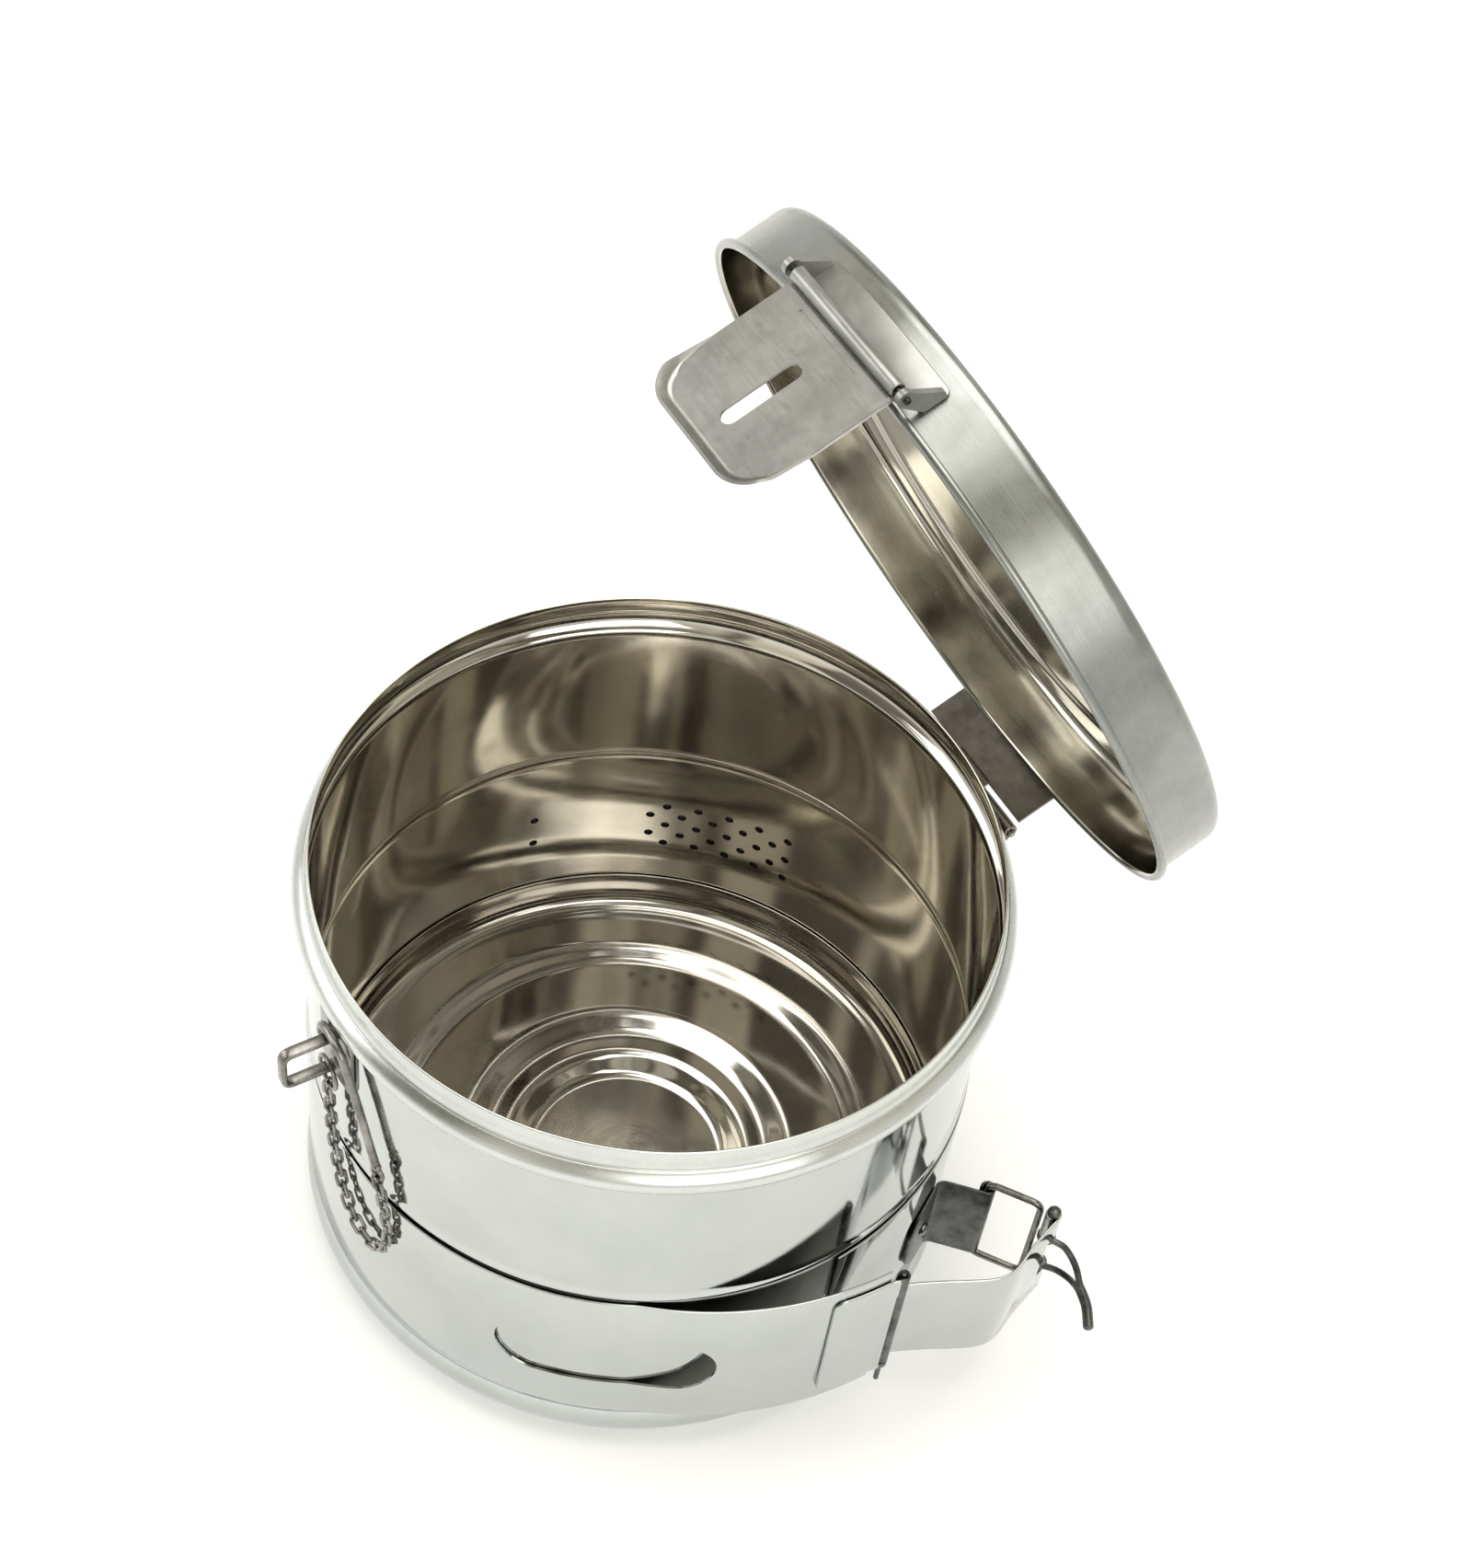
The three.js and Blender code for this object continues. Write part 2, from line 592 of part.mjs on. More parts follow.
// ---- locking peg and its chain ----
const legZ = STAPLE_Z - (STAPLE_H - STAPLE_T) / 2;
const ringZ = legZ - RING_R + STAPLE_T / 2 + RING_WIRE + 1.2;
const pegEye = [-76, 137]; // angle and height of the peg's eye

function onHang(angle, z, radius = HANG_R) {
  return new THREE.Vector3(...onCircle(radius, angle), z);
}

// A round-ended link lying along X, made from a ring whose halves are moved apart.
function link() {
  const turn = LINK_W / 2 - LINK_WIRE;
  const geometry = new THREE.TorusGeometry(turn, LINK_WIRE, 4, 8).rotateZ(Math.PI / 8);
  const positions = geometry.attributes.position;
  const shift = (LINK_L - LINK_W) / 2;
  for (let i = 0; i < positions.count; i += 1) {
    positions.setX(i, positions.getX(i) + Math.sign(positions.getX(i)) * shift);
  }
  return geometry;
}

function chainPlaces() {
  const reach = LINK_L / 2 - LINK_WIRE;
  const clear = RING_WIRE + LINK_WIRE + GAP;
  const first = ringZ - RING_R + clear - reach;
  const last = pegEye[1] - PEG_EYE_R + clear - reach;
  const route = new THREE.CatmullRomCurve3([
    [-90, first], [-89.6, 138], [-88.2, 116], [-85.6, 96], [-82.2, 83.5], [-78.6, 79.5], [-75.2, 84],
    [-73.8, 97], [-74.4, 114], [pegEye[0], last],
  ].map(([angle, z]) => onHang(angle, z)));
  const places = [];
  for (let i = 0; i < CHAIN_LINKS; i += 1) {
    const t = i / (CHAIN_LINKS - 1);
    places.push([route.getPointAt(t), route.getTangentAt(t)]);
  }
  return places;
}

function placedLink([point, along], flat) {
  const outwards = new THREE.Vector3(point.x, point.y, 0).normalize();
  const sideways = outwards.clone().cross(along).normalize();
  const facing = along.clone().cross(sideways);
  const place = flat
    ? new THREE.Matrix4().makeBasis(along, sideways, facing)
    : new THREE.Matrix4().makeBasis(along, facing.negate(), sideways);
  return link().applyMatrix4(place).translate(point.x, point.y, point.z);
}

// The peg hooks over the staple's upper leg and hangs beside it, with the chain in its eye.
function peg() {
  const hookZ = STAPLE_Z + STAPLE_H / 2 + PEG_R + 0.9;
  const hookY = -139.3;
  const shaft = new THREE.CatmullRomCurve3([
    new THREE.Vector3(-6, hookY, hookZ - 7), new THREE.Vector3(-5.2, hookY, hookZ - 2),
    new THREE.Vector3(0, hookY, hookZ + 0.6), new THREE.Vector3(9, hookY, hookZ),
    onHang(-84, 182, 139.3), onHang(-80, 162, 139.3), onHang(-77, 143, 139.3),
    onHang(pegEye[0], pegEye[1] + PEG_EYE_R),
  ]);
  const eye = new THREE.TorusGeometry(PEG_EYE_R, RING_WIRE, 6, 12);
  const centre = onHang(...pegEye);
  eye.rotateX(Math.PI / 2).rotateZ(radians(90 + pegEye[0])).translate(centre.x, centre.y, centre.z);
  return join([tube(shaft, PEG_R, 22), eye]);
}

const splitRing = new THREE.TorusGeometry(RING_R, RING_WIRE, 6, 16).rotateX(Math.PI / 2);
piece(chain, 'chain_ring', splitRing.translate(0, -HANG_R, ringZ), 0.5, 0.3);
chainPlaces().forEach((place, i) => {
  piece(chain, `chain_link_${String(i + 1).padStart(2, '0')}`, placedLink(place, i % 2 === 1), 0.55, 0.3);
});
piece(chain, 'locking_peg', peg(), 0.5, 0.3);

export default dressingDrum;
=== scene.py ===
"""Stainless steel dressing drum with its lid open and its band clasp undone.

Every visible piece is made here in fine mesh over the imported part, in the part's own frame.
Lengths are in millimetres until mesh_object() turns them into metres.
"""

import math

import bmesh
import bpy
from mathutils import Matrix, Vector


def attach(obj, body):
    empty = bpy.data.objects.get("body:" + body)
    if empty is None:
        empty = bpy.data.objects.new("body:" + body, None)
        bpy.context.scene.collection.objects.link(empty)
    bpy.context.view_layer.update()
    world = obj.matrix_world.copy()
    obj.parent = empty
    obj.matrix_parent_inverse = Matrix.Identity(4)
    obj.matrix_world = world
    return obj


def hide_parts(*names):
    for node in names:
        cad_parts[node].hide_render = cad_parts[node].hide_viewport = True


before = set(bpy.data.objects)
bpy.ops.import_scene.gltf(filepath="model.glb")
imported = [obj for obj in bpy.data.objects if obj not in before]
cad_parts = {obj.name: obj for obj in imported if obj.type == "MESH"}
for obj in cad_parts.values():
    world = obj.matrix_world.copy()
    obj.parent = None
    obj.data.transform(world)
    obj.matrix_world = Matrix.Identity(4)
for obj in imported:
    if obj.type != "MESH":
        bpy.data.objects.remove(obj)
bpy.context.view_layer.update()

MM = 0.001
AROUND = 288  # steps round the drum
ON_AXIS = 1e-6  # a point nearer than this to the axis of turning lies on it

# ---- the part's own dimensions ----
SHEET = 1.0
GAP = 0.35
WALL_R = 135
WALL_MIDDLE = WALL_R - SHEET / 2
STRAIGHT_LOW, STRAIGHT_HIGH = 31, 114  # the wall is a plain cylinder between these heights
UPPER_LOW, UPPER_HIGH = 122, 194  # and between these
RIM_FROM = 197  # the rim bead and the neck are above this height
HOLE_R = 2.0
HOLE_Z = 70
HOLE_PITCH, HOLE_ROW = 7.2, 6.4  # from one column or row to the next
HOLE_COLUMNS, HOLE_ROWS = 10, 5
HOLE_FROM, HOLE_TO = 130, 140  # the radii between which the holes are cut
VENT_ANGLES = (14.6, 134.6, 254.6)
SIGHT_ANGLE, SIGHT_OFF = 171, 8  # two single holes, one above and one below the middle height
FLOOR_EDGE_LOW = 14
FLOOR_RINGS = ((107, 99, 10), (72, 62, 6), (52, 44, 0.5))  # each step's outer and inner radius, and height

BAND_BOTTOM, BAND_TOP = 30, 113.5
BAND_T = 1.0
BAND_START, BAND_END = 5, 370.4
BAND_LEAVES = 330  # from this angle the free end springs off the wall
BAND_SPRING = 16.8
BAND_STEPS = 368
PLATE_START, PLATE_CORNER = 361, 5
PLATE_SHORT = 6  # the end plate stops this far from the band's upper and lower edges
WINDOW_ANGLES = (-34, 86, 206)
WINDOW_HALF_W, WINDOW_HALF_H, WINDOW_Z = 44, 17, 69

CLASP_LOW, CLASP_HIGH = 40, 95
CLASP_Z = (CLASP_LOW + CLASP_HIGH) / 2
CLASP_T = 1.2
CATCH_LOW, CATCH_HIGH = 43.5, 90.5
CATCH = (125.5, 93.2)  # place in plan of the bail's end, in the catch's roll
CATCH_TURN = -36  # the angle at which the catch's roll starts
TONGUE_R = 17
LEVER = (150, 108)  # place in plan of the lever's pin, in the strap's far roll
STRAP_TURN = 30.7  # the angle at which the strap's far roll starts
LEVER_WIRE_R, LEVER_TIP_R = 1.4, 2.2
LEVER_EYE_R, LEVER_BORE = 3.8, 1.95
EYE_APART, EYE_T = 10.2, 3  # each eye's distance from the clasp's middle height, and its thickness
BAIL_FAR = (143.8, 106.8)
BAIL_LOW, BAIL_HIGH = 40.8, 93.2
STRAP_ROOT = 12.5  # the angle of the strap's own pin, past the band's end
CURL_R, ROOT_CURL_R = 2.7, 2.1
ROOT_CUT_R, END_CUT_R = 3.4, 6  # the end plate and the strap's far roll are cut away round their pins
ARM_PIN_R, ARM_PIN_LOW, ARM_PIN_HIGH = 1.1, 23, 108.5
WIRE_R = 1.5
RIVET_ANGLE, RIVET_R, RIVET_HEAD_R = 30, 1.5, 3

HINGE_Y, HINGE_Z = 146, 188
KNUCKLE_R, KNUCKLE_BORE, KNUCKLE_HALF = 3.4, 2.0, 10.8
HINGE_PIN_R, HINGE_PIN_OUT = 1.6, 1.5
LEAF_W, LEAF_T = 66, 1.2
LEAF_LOW, LEAF_HIGH = 148, 174
SLOPE_FOOT = 172  # the height at which the leaf on the drum bends out to the pin
LID_LEAF_LOW, LID_LEAF_HIGH = 218, 232
LID_OPEN = 65.4
LID_R = 137
LID_TOP = 237
LID_TOP_FROM = 228  # the lid's side ends at this height and its top starts
HEM_R, HEM_LOW = 1.3, 208.6
LID_RINGS = ((124, 120, -3), (104, 100, -1), (84, 80, -3))  # each step's radii, and height from the top

HASP_W, HASP_T = 62, 1.2
HASP_Y, HASP_Z = -145.2, 213
HASP_PLATE_Y = -142.9
HASP_SLOT_HALF, HASP_SLOT_R, HASP_SLOT_Z = 15.5, 3.3, 179
HASP_PIN_R = 1.3
TAB_X, TAB_T = 34.6, 2.4

STAPLE_Z, STAPLE_H, STAPLE_W, STAPLE_T, STAPLE_OUT = 176, 21, 5, 2.4, 159
STAPLE_PLATE_W, STAPLE_PLATE_T = 26, 1.5
STAPLE_PLATE_LOW, STAPLE_PLATE_HIGH = 160, 192

LINK_L, LINK_W, LINK_WIRE = 9.1, 5.4, 0.75
CHAIN_LINKS = 27
HANG_R = 139.6  # the chain and the ring hang on a cylinder of this radius
RING_R, RING_WIRE = 7, 0.9
PEG_R, PEG_EYE_R, PEG_HANG_R = 1.7, 3, 139.3
PEG_EYE = (-76, 137)  # angle and height of the peg's eye

CAMERA_AT = (0.5418, -0.3741, 1.0505)  # in metres
CAMERA_YAW, CAMERA_PITCH, CAMERA_ROLL = -53.26, 50.03, 8.46
CAMERA_LENS = 63.9


# ---- plane shapes ----
def on_circle(radius, degrees):
    return (radius * math.cos(math.radians(degrees)), radius * math.sin(math.radians(degrees)))


def arc(cx, cy, radius, start, end, steps):
    points = []
    for i in range(steps + 1):
        x, y = on_circle(radius, start + (end - start) * i / steps)
        points.append((cx + x, cy + y))
    return points


def rounded(points, bend, steps=4):
    """The line through the points with each corner rounded, starting up to bend before it."""
    vectors = [Vector(p) for p in points]
    line = [vectors[0]]
    for before, corner, after in zip(vectors, vectors[1:], vectors[2:]):
        start = corner + (before - corner) * min(bend / (before - corner).length, 0.48)
        end = corner + (after - corner) * min(bend / (after - corner).length, 0.48)
        for i in range(steps + 1):
            t = i / steps
            line.append(start * (1 - t) ** 2 + corner * 2 * t * (1 - t) + end * t * t)
    line.append(vectors[-1])
    return [tuple(v) for v in line]


def offset_line(line, distance):
    """The line shifted to its left by the distance."""
    shifted = []
    for i, (x, y) in enumerate(line):
        x0, y0 = line[max(i - 1, 0)]
        x1, y1 = line[min(i + 1, len(line) - 1)]
        length = math.hypot(x1 - x0, y1 - y0)
        shifted.append((x - (y1 - y0) / length * distance, y + (x1 - x0) / length * distance))
    return shifted


def round_edge(edge, inner, beside, steps):
    """Points round a sheet's edge, from the face at beside to the other. An edge on the axis has none."""
    if edge[0] < ON_AXIS:
        return []
    heading = (Vector(edge) - Vector(inner)).normalized()
    side = Vector(beside) - Vector(edge)
    points = []
    for i in range(1, steps + 1):
        angle = math.pi * i / (steps + 1)
        points.append(tuple(Vector(edge) + side * math.cos(angle) + heading * side.length * math.sin(angle)))
    return points


def sheet_outline(middle, thickness, edge_steps=3):
    """Closed outline of bent sheet with round edges, from the line down its middle."""
    left = offset_line(middle, thickness / 2)
    right = offset_line(middle, -thickness / 2)
    return [
        *left, *round_edge(middle[-1], middle[-2], left[-1], edge_steps),
        *reversed(right), *round_edge(middle[0], middle[1], right[0], edge_steps)]


def rounded_box(half_u, half_v, radius, steps=3):
    outline = []
    for su, sv, start in ((1, 1, 0), (-1, 1, 90), (-1, -1, 180), (1, -1, 270)):
        outline += arc(su * (half_u - radius), sv * (half_v - radius), radius, start, start + 90, steps)
    return outline


# ---- solid shapes: each gives (points, faces) ----
def merge(*shapes):
    points, faces = [], []
    for shape_points, shape_faces in shapes:
        start = len(points)
        points += shape_points
        faces += [tuple(i + start for i in face) for face in shape_faces]
    return points, faces


def revolve(outline, steps=AROUND):
    """Turns an outline of (radius, height) points round Z. Points on the axis become one point."""
    points, faces, rings = [], [], []
    for r, z in outline:
        if r < ON_AXIS:
            rings.append([len(points)] * steps)
            points.append((0, 0, z))
        else:
            rings.append(range(len(points), len(points) + steps))
            points += [(*on_circle(r, 360 * i / steps), z) for i in range(steps)]
    for a, b in zip(rings, [*rings[1:], rings[0]]):
        for i in range(steps):
            j = (i + 1) % steps
            corners = list(dict.fromkeys((a[i], a[j], b[j], b[i])))
            if len(corners) > 2:
                faces.append(tuple(corners))
    return points, faces


def sweep(stations, closed=False):
    """Skins a row of closed sections that have the same number of points, and caps its ends."""
    count = len(stations[0])
    points = [tuple(p) for station in stations for p in station]
    faces = []
    rows = len(stations)
    for i in range(rows if closed else rows - 1):
        a, b = i * count, (i + 1) % rows * count
        for j in range(count):
            k = (j + 1) % count
            faces.append((a + j, a + k, b + k, b + j))
    if not closed:
        faces.append(tuple(reversed(range(count))))
        faces.append(tuple(range((rows - 1) * count, rows * count)))
    return points, faces


def strip(line, thickness, place, half_width, middle_width=0.0):
    """Bent sheet along a plane line. place(a, b, c) puts plane point (a, b) at width c.
    half_width is a number, or a function of the distance along the line and the line's length."""
    lengths = [0.0]
    for (x0, y0), (x1, y1) in zip(line, line[1:]):
        lengths.append(lengths[-1] + math.hypot(x1 - x0, y1 - y0))
    left = offset_line(line, 1.0)
    stations = []
    for (x, y), (nx, ny), length in zip(line, left, lengths):
        half = half_width(length, lengths[-1]) if callable(half_width) else half_width
        section = rounded_box(thickness / 2, half, thickness * 0.42)
        stations.append([
            place(x + (nx - x) * u, y + (ny - y) * u, middle_width + v) for u, v in section])
    return sweep(stations)


def in_plan(x, y, z):
    return (x, y, z)


def in_profile(y, z, x):
    return (x, y, z)


def round_corner(at, half, radius):
    """Half width at a distance from an end whose corners are rounded."""
    if at >= radius:
        return half
    return half - radius + math.sqrt(max(radius ** 2 - (radius - at) ** 2, 0.01))


def corner_width(half, radius):
    """Half width of a plate whose four corners are rounded, along its length."""
    return lambda at, total: round_corner(min(at, total - at), half, radius)


def plate_line(radius, angle, width, corner):
    """Plan line of a plate curved to the drum, with close points at its rounded corners."""
    half = math.degrees(width / 2 / radius)
    step = math.degrees(corner / radius)
    shares = [1 - math.cos(math.pi / 2 * i / 8) for i in range(9)]
    ends = [share * step for share in shares]
    angles = [-half + e for e in ends]
    inner = half - step
    angles += [-inner + 2 * inner * i / 12 for i in range(1, 12)]
    angles += [half - e for e in reversed(ends)]
    return [on_circle(radius, angle + a) for a in angles]


def curved_plate(inner_r, thickness, angle, width, low, high, corner):
    line = plate_line(inner_r + thickness / 2, angle, width, corner)
    half = (high - low) / 2
    return strip(line, thickness, in_plan, corner_width(half, corner), (low + high) / 2)


def tube(points, radius, sides=16, closed=False):
    """A round wire through the points, with domed ends. radius is a number or one for each point."""
    vectors = [Vector(p) for p in points]
    count = len(vectors)
    radii = list(radius) if hasattr(radius, "__len__") else [radius] * count
    tangents = []
    for i in range(count):
        before = vectors[i - 1] if closed else vectors[max(i - 1, 0)]
        after = vectors[(i + 1) % count] if closed else vectors[min(i + 1, count - 1)]
        tangents.append((after - before).normalized())
    up = Vector((0, 0, 1)) if abs(tangents[0].z) < 0.9 else Vector((1, 0, 0))
    side = tangents[0].cross(up).normalized()
    stations = []
    for i, (centre, tangent) in enumerate(zip(vectors, tangents)):
        side = (side - tangent * side.dot(tangent)).normalized()
        other = tangent.cross(side)
        domes = [(0.0, 1.0)]
        if not closed and i == 0:
            domes = [(-math.sin(a), math.cos(a)) for a in (1.45, 1.1, 0.7, 0.35, 0.0)]
        if not closed and i == count - 1:
            domes = [(math.sin(a), math.cos(a)) for a in (0.0, 0.35, 0.7, 1.1, 1.45)]
        for ahead, share in domes:
            middle = centre + tangent * ahead * radii[i] * 0.6
            ring = []
            for j in range(sides):
                angle = 2 * math.pi * j / sides
                spoke = side * math.cos(angle) + other * math.sin(angle)
                ring.append(middle + spoke * radii[i] * share)
            stations.append(ring)
    return sweep(stations, closed)


def spline(points, steps):
    """A smooth line through the points."""
    vectors = [Vector(p) for p in points]
    vectors = [vectors[0] * 2 - vectors[1], *vectors, vectors[-1] * 2 - vectors[-2]]
    line = []
    for a, b, c, d in zip(vectors, vectors[1:], vectors[2:], vectors[3:]):
        for i in range(steps):
            t = i / steps
            line.append(0.5 * (b * 2 + (c - a) * t + (a * 2 - b * 5 + c * 4 - d) * t ** 2
                               + (b * 3 - a - c * 3 + d) * t ** 3))
    line.append(vectors[-2])
    return line


def moved(shape, matrix):
    points, faces = shape
    return [tuple(matrix @ Vector(p)) for p in points], faces


def lying_along_x(shape, x, y, z):
    """Turns a shape made round Z so that its axis lies along X."""
    return moved(shape, Matrix.Translation((x, y, z)) @ Matrix.Rotation(math.pi / 2, 4, "Y"))


def rod_outline(radius, half, edge=0.4):
    return [(0, -half), (radius - edge, -half), (radius - edge * 0.3, -half + edge * 0.3),
            (radius, -half + edge), (radius, half - edge), (radius - edge * 0.3, half - edge * 0.3),
            (radius - edge, half), (0, half)]


def collar_outline(outer, inner, half, edge=0.35):
    return [(inner, -half), (outer - edge, -half), (outer, -half + edge), (outer, half - edge),
            (outer - edge, half), (inner, half)]


def prism(outline, depth, place):
    """A straight solid from an outline of (u, v) points, from 0 to depth along place's third number."""
    near = [place(u, v, 0) for u, v in outline]
    far = [place(u, v, depth) for u, v in outline]
    return sweep([near, far])


def circle(radius, steps=20):
    return arc(0, 0, radius, 0, 360, steps)[:-1]


def slot_outline(half_length, half_width, steps=16):
    straight = half_length - half_width
    return (arc(straight, 0, half_width, -90, 90, steps)
            + arc(-straight, 0, half_width, 90, 270, steps))


# ---- objects ----
lid_pivot = Vector((0, HINGE_Y, HINGE_Z)) * MM
OPENED = (Matrix.Translation(lid_pivot) @ Matrix.Rotation(-math.radians(LID_OPEN), 4, "X")
          @ Matrix.Translation(-lid_pivot))


def make_mesh(name, shape):
    points, faces = shape
    mesh = bpy.data.meshes.new(name)
    mesh.from_pydata([[c * MM for c in p] for p in points], [], faces)
    mesh.update()
    return mesh


def outward(mesh):
    """Turns every face outwards."""
    work = bmesh.new()
    work.from_mesh(mesh)
    bmesh.ops.recalc_face_normals(work, faces=work.faces)
    work.to_mesh(mesh)
    work.free()


def mesh_object(name, shape, body, material, nodes, place=None, cutters=(), bevel=0.0, sharp=38):
    """A finished piece: its mesh, cuts and edges, its material, and the body it rides on."""
    mesh = make_mesh(name, shape)
    outward(mesh)
    piece = bpy.data.objects.new(name, mesh)
    bpy.context.scene.collection.objects.link(piece)
    if cutters:
        cutter_mesh = make_mesh(name + "_cutter", merge(*cutters))
        outward(cutter_mesh)
        cutter = bpy.data.objects.new(name + "_cutter", cutter_mesh)
        bpy.context.scene.collection.objects.link(cutter)
        boolean = piece.modifiers.new("cut", "BOOLEAN")
        boolean.object = cutter
        boolean.operation = "DIFFERENCE"
        boolean.solver = "EXACT"
        apply_modifiers(piece)
        bpy.data.objects.remove(cutter)
    if bevel:
        edge = piece.modifiers.new("edges", "BEVEL")
        edge.width = bevel * MM
        edge.segments = 2
        edge.limit_method = "ANGLE"
        edge.angle_limit = math.radians(50)
        apply_modifiers(piece)
    piece.data.shade_smooth()
    piece.data.set_sharp_from_angle(angle=math.radians(sharp))
    piece.data.materials.append(material)
    if place:
        piece.matrix_world = place
    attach(piece, body)
    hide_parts(*nodes)
    return piece


def apply_modifiers(piece):
    bpy.context.view_layer.update()
    evaluated = piece.evaluated_get(bpy.context.evaluated_depsgraph_get())
    mesh = bpy.data.meshes.new_from_object(evaluated)
    piece.modifiers.clear()
    piece.data = mesh


def true_normals(piece, direction, limit=0.9):
    """Gives each face of a curved sheet the sheet's own normal, so that cuts don't disturb its reflections.
    direction(point) is the outward direction there, or None where the mesh keeps its own."""
    mesh = piece.data
    normals = [Vector(n.vector) for n in mesh.corner_normals]
    for polygon in mesh.polygons:
        for corner in polygon.loop_indices:
            outwards = direction(mesh.vertices[mesh.loops[corner].vertex_index].co)
            if outwards is None:
                continue
            facing = polygon.normal.dot(outwards)
            if abs(facing) > limit:
                normals[corner] = outwards * math.copysign(1, facing)
    mesh.normals_split_custom_set([tuple(n) for n in normals])


# ---- materials ----
BRUSH_SCALE = 900.0  # how closely the brush lines lie side by side
UPRIGHT_WAVES = 0.25  # how fast the drum's waviness changes with height, as a share of round it


def add_node(nodes, kind, **values):
    """A new node. Each value goes on the input, or else the property, of its name."""
    made = nodes.new(kind)
    for key, value in values.items():
        if key in made.inputs:
            made.inputs[key].default_value = value
        else:
            setattr(made, key, value)
    return made


def colour_ramp(nodes, *stops):
    """A colour ramp with two or more (position, colour) stops."""
    made = nodes.new("ShaderNodeValToRGB")
    elements = made.color_ramp.elements
    while len(elements) < len(stops):
        elements.new(0.5)
    for element, (position, colour) in zip(elements, stops):
        element.position = position
        element.color = (*colour, 1)
    return made


def brush_coordinates(nodes, links, coords, lines):
    """Where the brush lines are looked up: drawn out round the drum's axis, or across in X."""
    if lines == "across":
        across = add_node(nodes, "ShaderNodeMapping", Scale=(25.0, BRUSH_SCALE, BRUSH_SCALE))
        links.new(coords.outputs["Object"], across.inputs["Vector"])
        return across
    parts = nodes.new("ShaderNodeSeparateXYZ")
    links.new(coords.outputs["Object"], parts.inputs[0])
    flat = nodes.new("ShaderNodeCombineXYZ")
    links.new(parts.outputs["X"], flat.inputs["X"])
    links.new(parts.outputs["Y"], flat.inputs["Y"])
    radius = add_node(nodes, "ShaderNodeVectorMath", operation="LENGTH")
    links.new(flat.outputs[0], radius.inputs[0])
    along = add_node(nodes, "ShaderNodeMath", operation="ADD")
    links.new(radius.outputs["Value"], along.inputs[0])
    links.new(parts.outputs["Z"], along.inputs[1])
    finer = add_node(nodes, "ShaderNodeMath", operation="MULTIPLY")
    links.new(along.outputs[0], finer.inputs[0])
    finer.inputs[1].default_value = BRUSH_SCALE
    heading = add_node(nodes, "ShaderNodeVectorMath", operation="NORMALIZE")
    links.new(flat.outputs[0], heading.inputs[0])
    turned = nodes.new("ShaderNodeSeparateXYZ")
    links.new(heading.outputs[0], turned.inputs[0])
    around = nodes.new("ShaderNodeCombineXYZ")
    links.new(turned.outputs["X"], around.inputs["X"])
    links.new(turned.outputs["Y"], around.inputs["Y"])
    links.new(finer.outputs[0], around.inputs["Z"])
    return around


def steel(name, light, dark, roughness, brush, wobble, lines="round", patches=16.0, wear=0.5):
    """Stainless steel: two tints in soft patches, uneven polish, fine brush lines and a slight waviness.
    brush and wobble are heights in millimetres. lines run round the drum's axis, or across in X."""
    material = bpy.data.materials.new(name)
    material.use_nodes = True
    nodes, links = material.node_tree.nodes, material.node_tree.links
    nodes.clear()

    def node(kind, **values):
        return add_node(nodes, kind, **values)

    output = node("ShaderNodeOutputMaterial")
    shader = node("ShaderNodeBsdfPrincipled", Metallic=1.0)
    links.new(shader.outputs["BSDF"], output.inputs["Surface"])
    coords = node("ShaderNodeTexCoord")
    brush_at = brush_coordinates(nodes, links, coords, lines)
    brush_noise = node("ShaderNodeTexNoise", Scale=2.5, Detail=3.0, Roughness=0.6)
    links.new(brush_at.outputs[0], brush_noise.inputs["Vector"])

    patch = node("ShaderNodeTexNoise", Scale=patches, Detail=5.0, Roughness=0.62)
    links.new(coords.outputs["Object"], patch.inputs["Vector"])
    tint = colour_ramp(nodes, (0.36, dark), (0.62, light))
    links.new(patch.outputs["Fac"], tint.inputs["Fac"])
    links.new(tint.outputs["Color"], shader.inputs["Base Color"])

    spots = node("ShaderNodeTexNoise", Scale=patches * 7, Detail=6.0, Roughness=0.7)
    links.new(coords.outputs["Object"], spots.inputs["Vector"])
    blend = node("ShaderNodeMix", data_type="FLOAT", Factor=wear)
    links.new(brush_noise.outputs["Fac"], blend.inputs["A"])
    links.new(spots.outputs["Fac"], blend.inputs["B"])
    polish = node("ShaderNodeMapRange")
    polish.inputs["From Min"].default_value = 0.3
    polish.inputs["From Max"].default_value = 0.75
    polish.inputs["To Min"].default_value = roughness[0]
    polish.inputs["To Max"].default_value = roughness[1]
    links.new(blend.outputs[0], polish.inputs["Value"])
    links.new(polish.outputs[0], shader.inputs["Roughness"])

    waves_at = node("ShaderNodeMapping")
    waves_at.inputs["Scale"].default_value = (1.0, 1.0, UPRIGHT_WAVES if lines == "round" else 1.0)
    links.new(coords.outputs["Object"], waves_at.inputs["Vector"])
    waves = node("ShaderNodeTexNoise", Scale=22.0, Detail=1.0, Roughness=0.4)
    links.new(waves_at.outputs[0], waves.inputs["Vector"])
    wavy = node("ShaderNodeBump", Strength=1.0, Distance=wobble * MM)
    links.new(waves.outputs["Fac"], wavy.inputs["Height"])
    lined = node("ShaderNodeBump", Strength=1.0, Distance=brush * MM)
    links.new(brush_noise.outputs["Fac"], lined.inputs["Height"])
    links.new(wavy.outputs["Normal"], lined.inputs["Normal"])
    links.new(lined.outputs["Normal"], shader.inputs["Normal"])
    return material


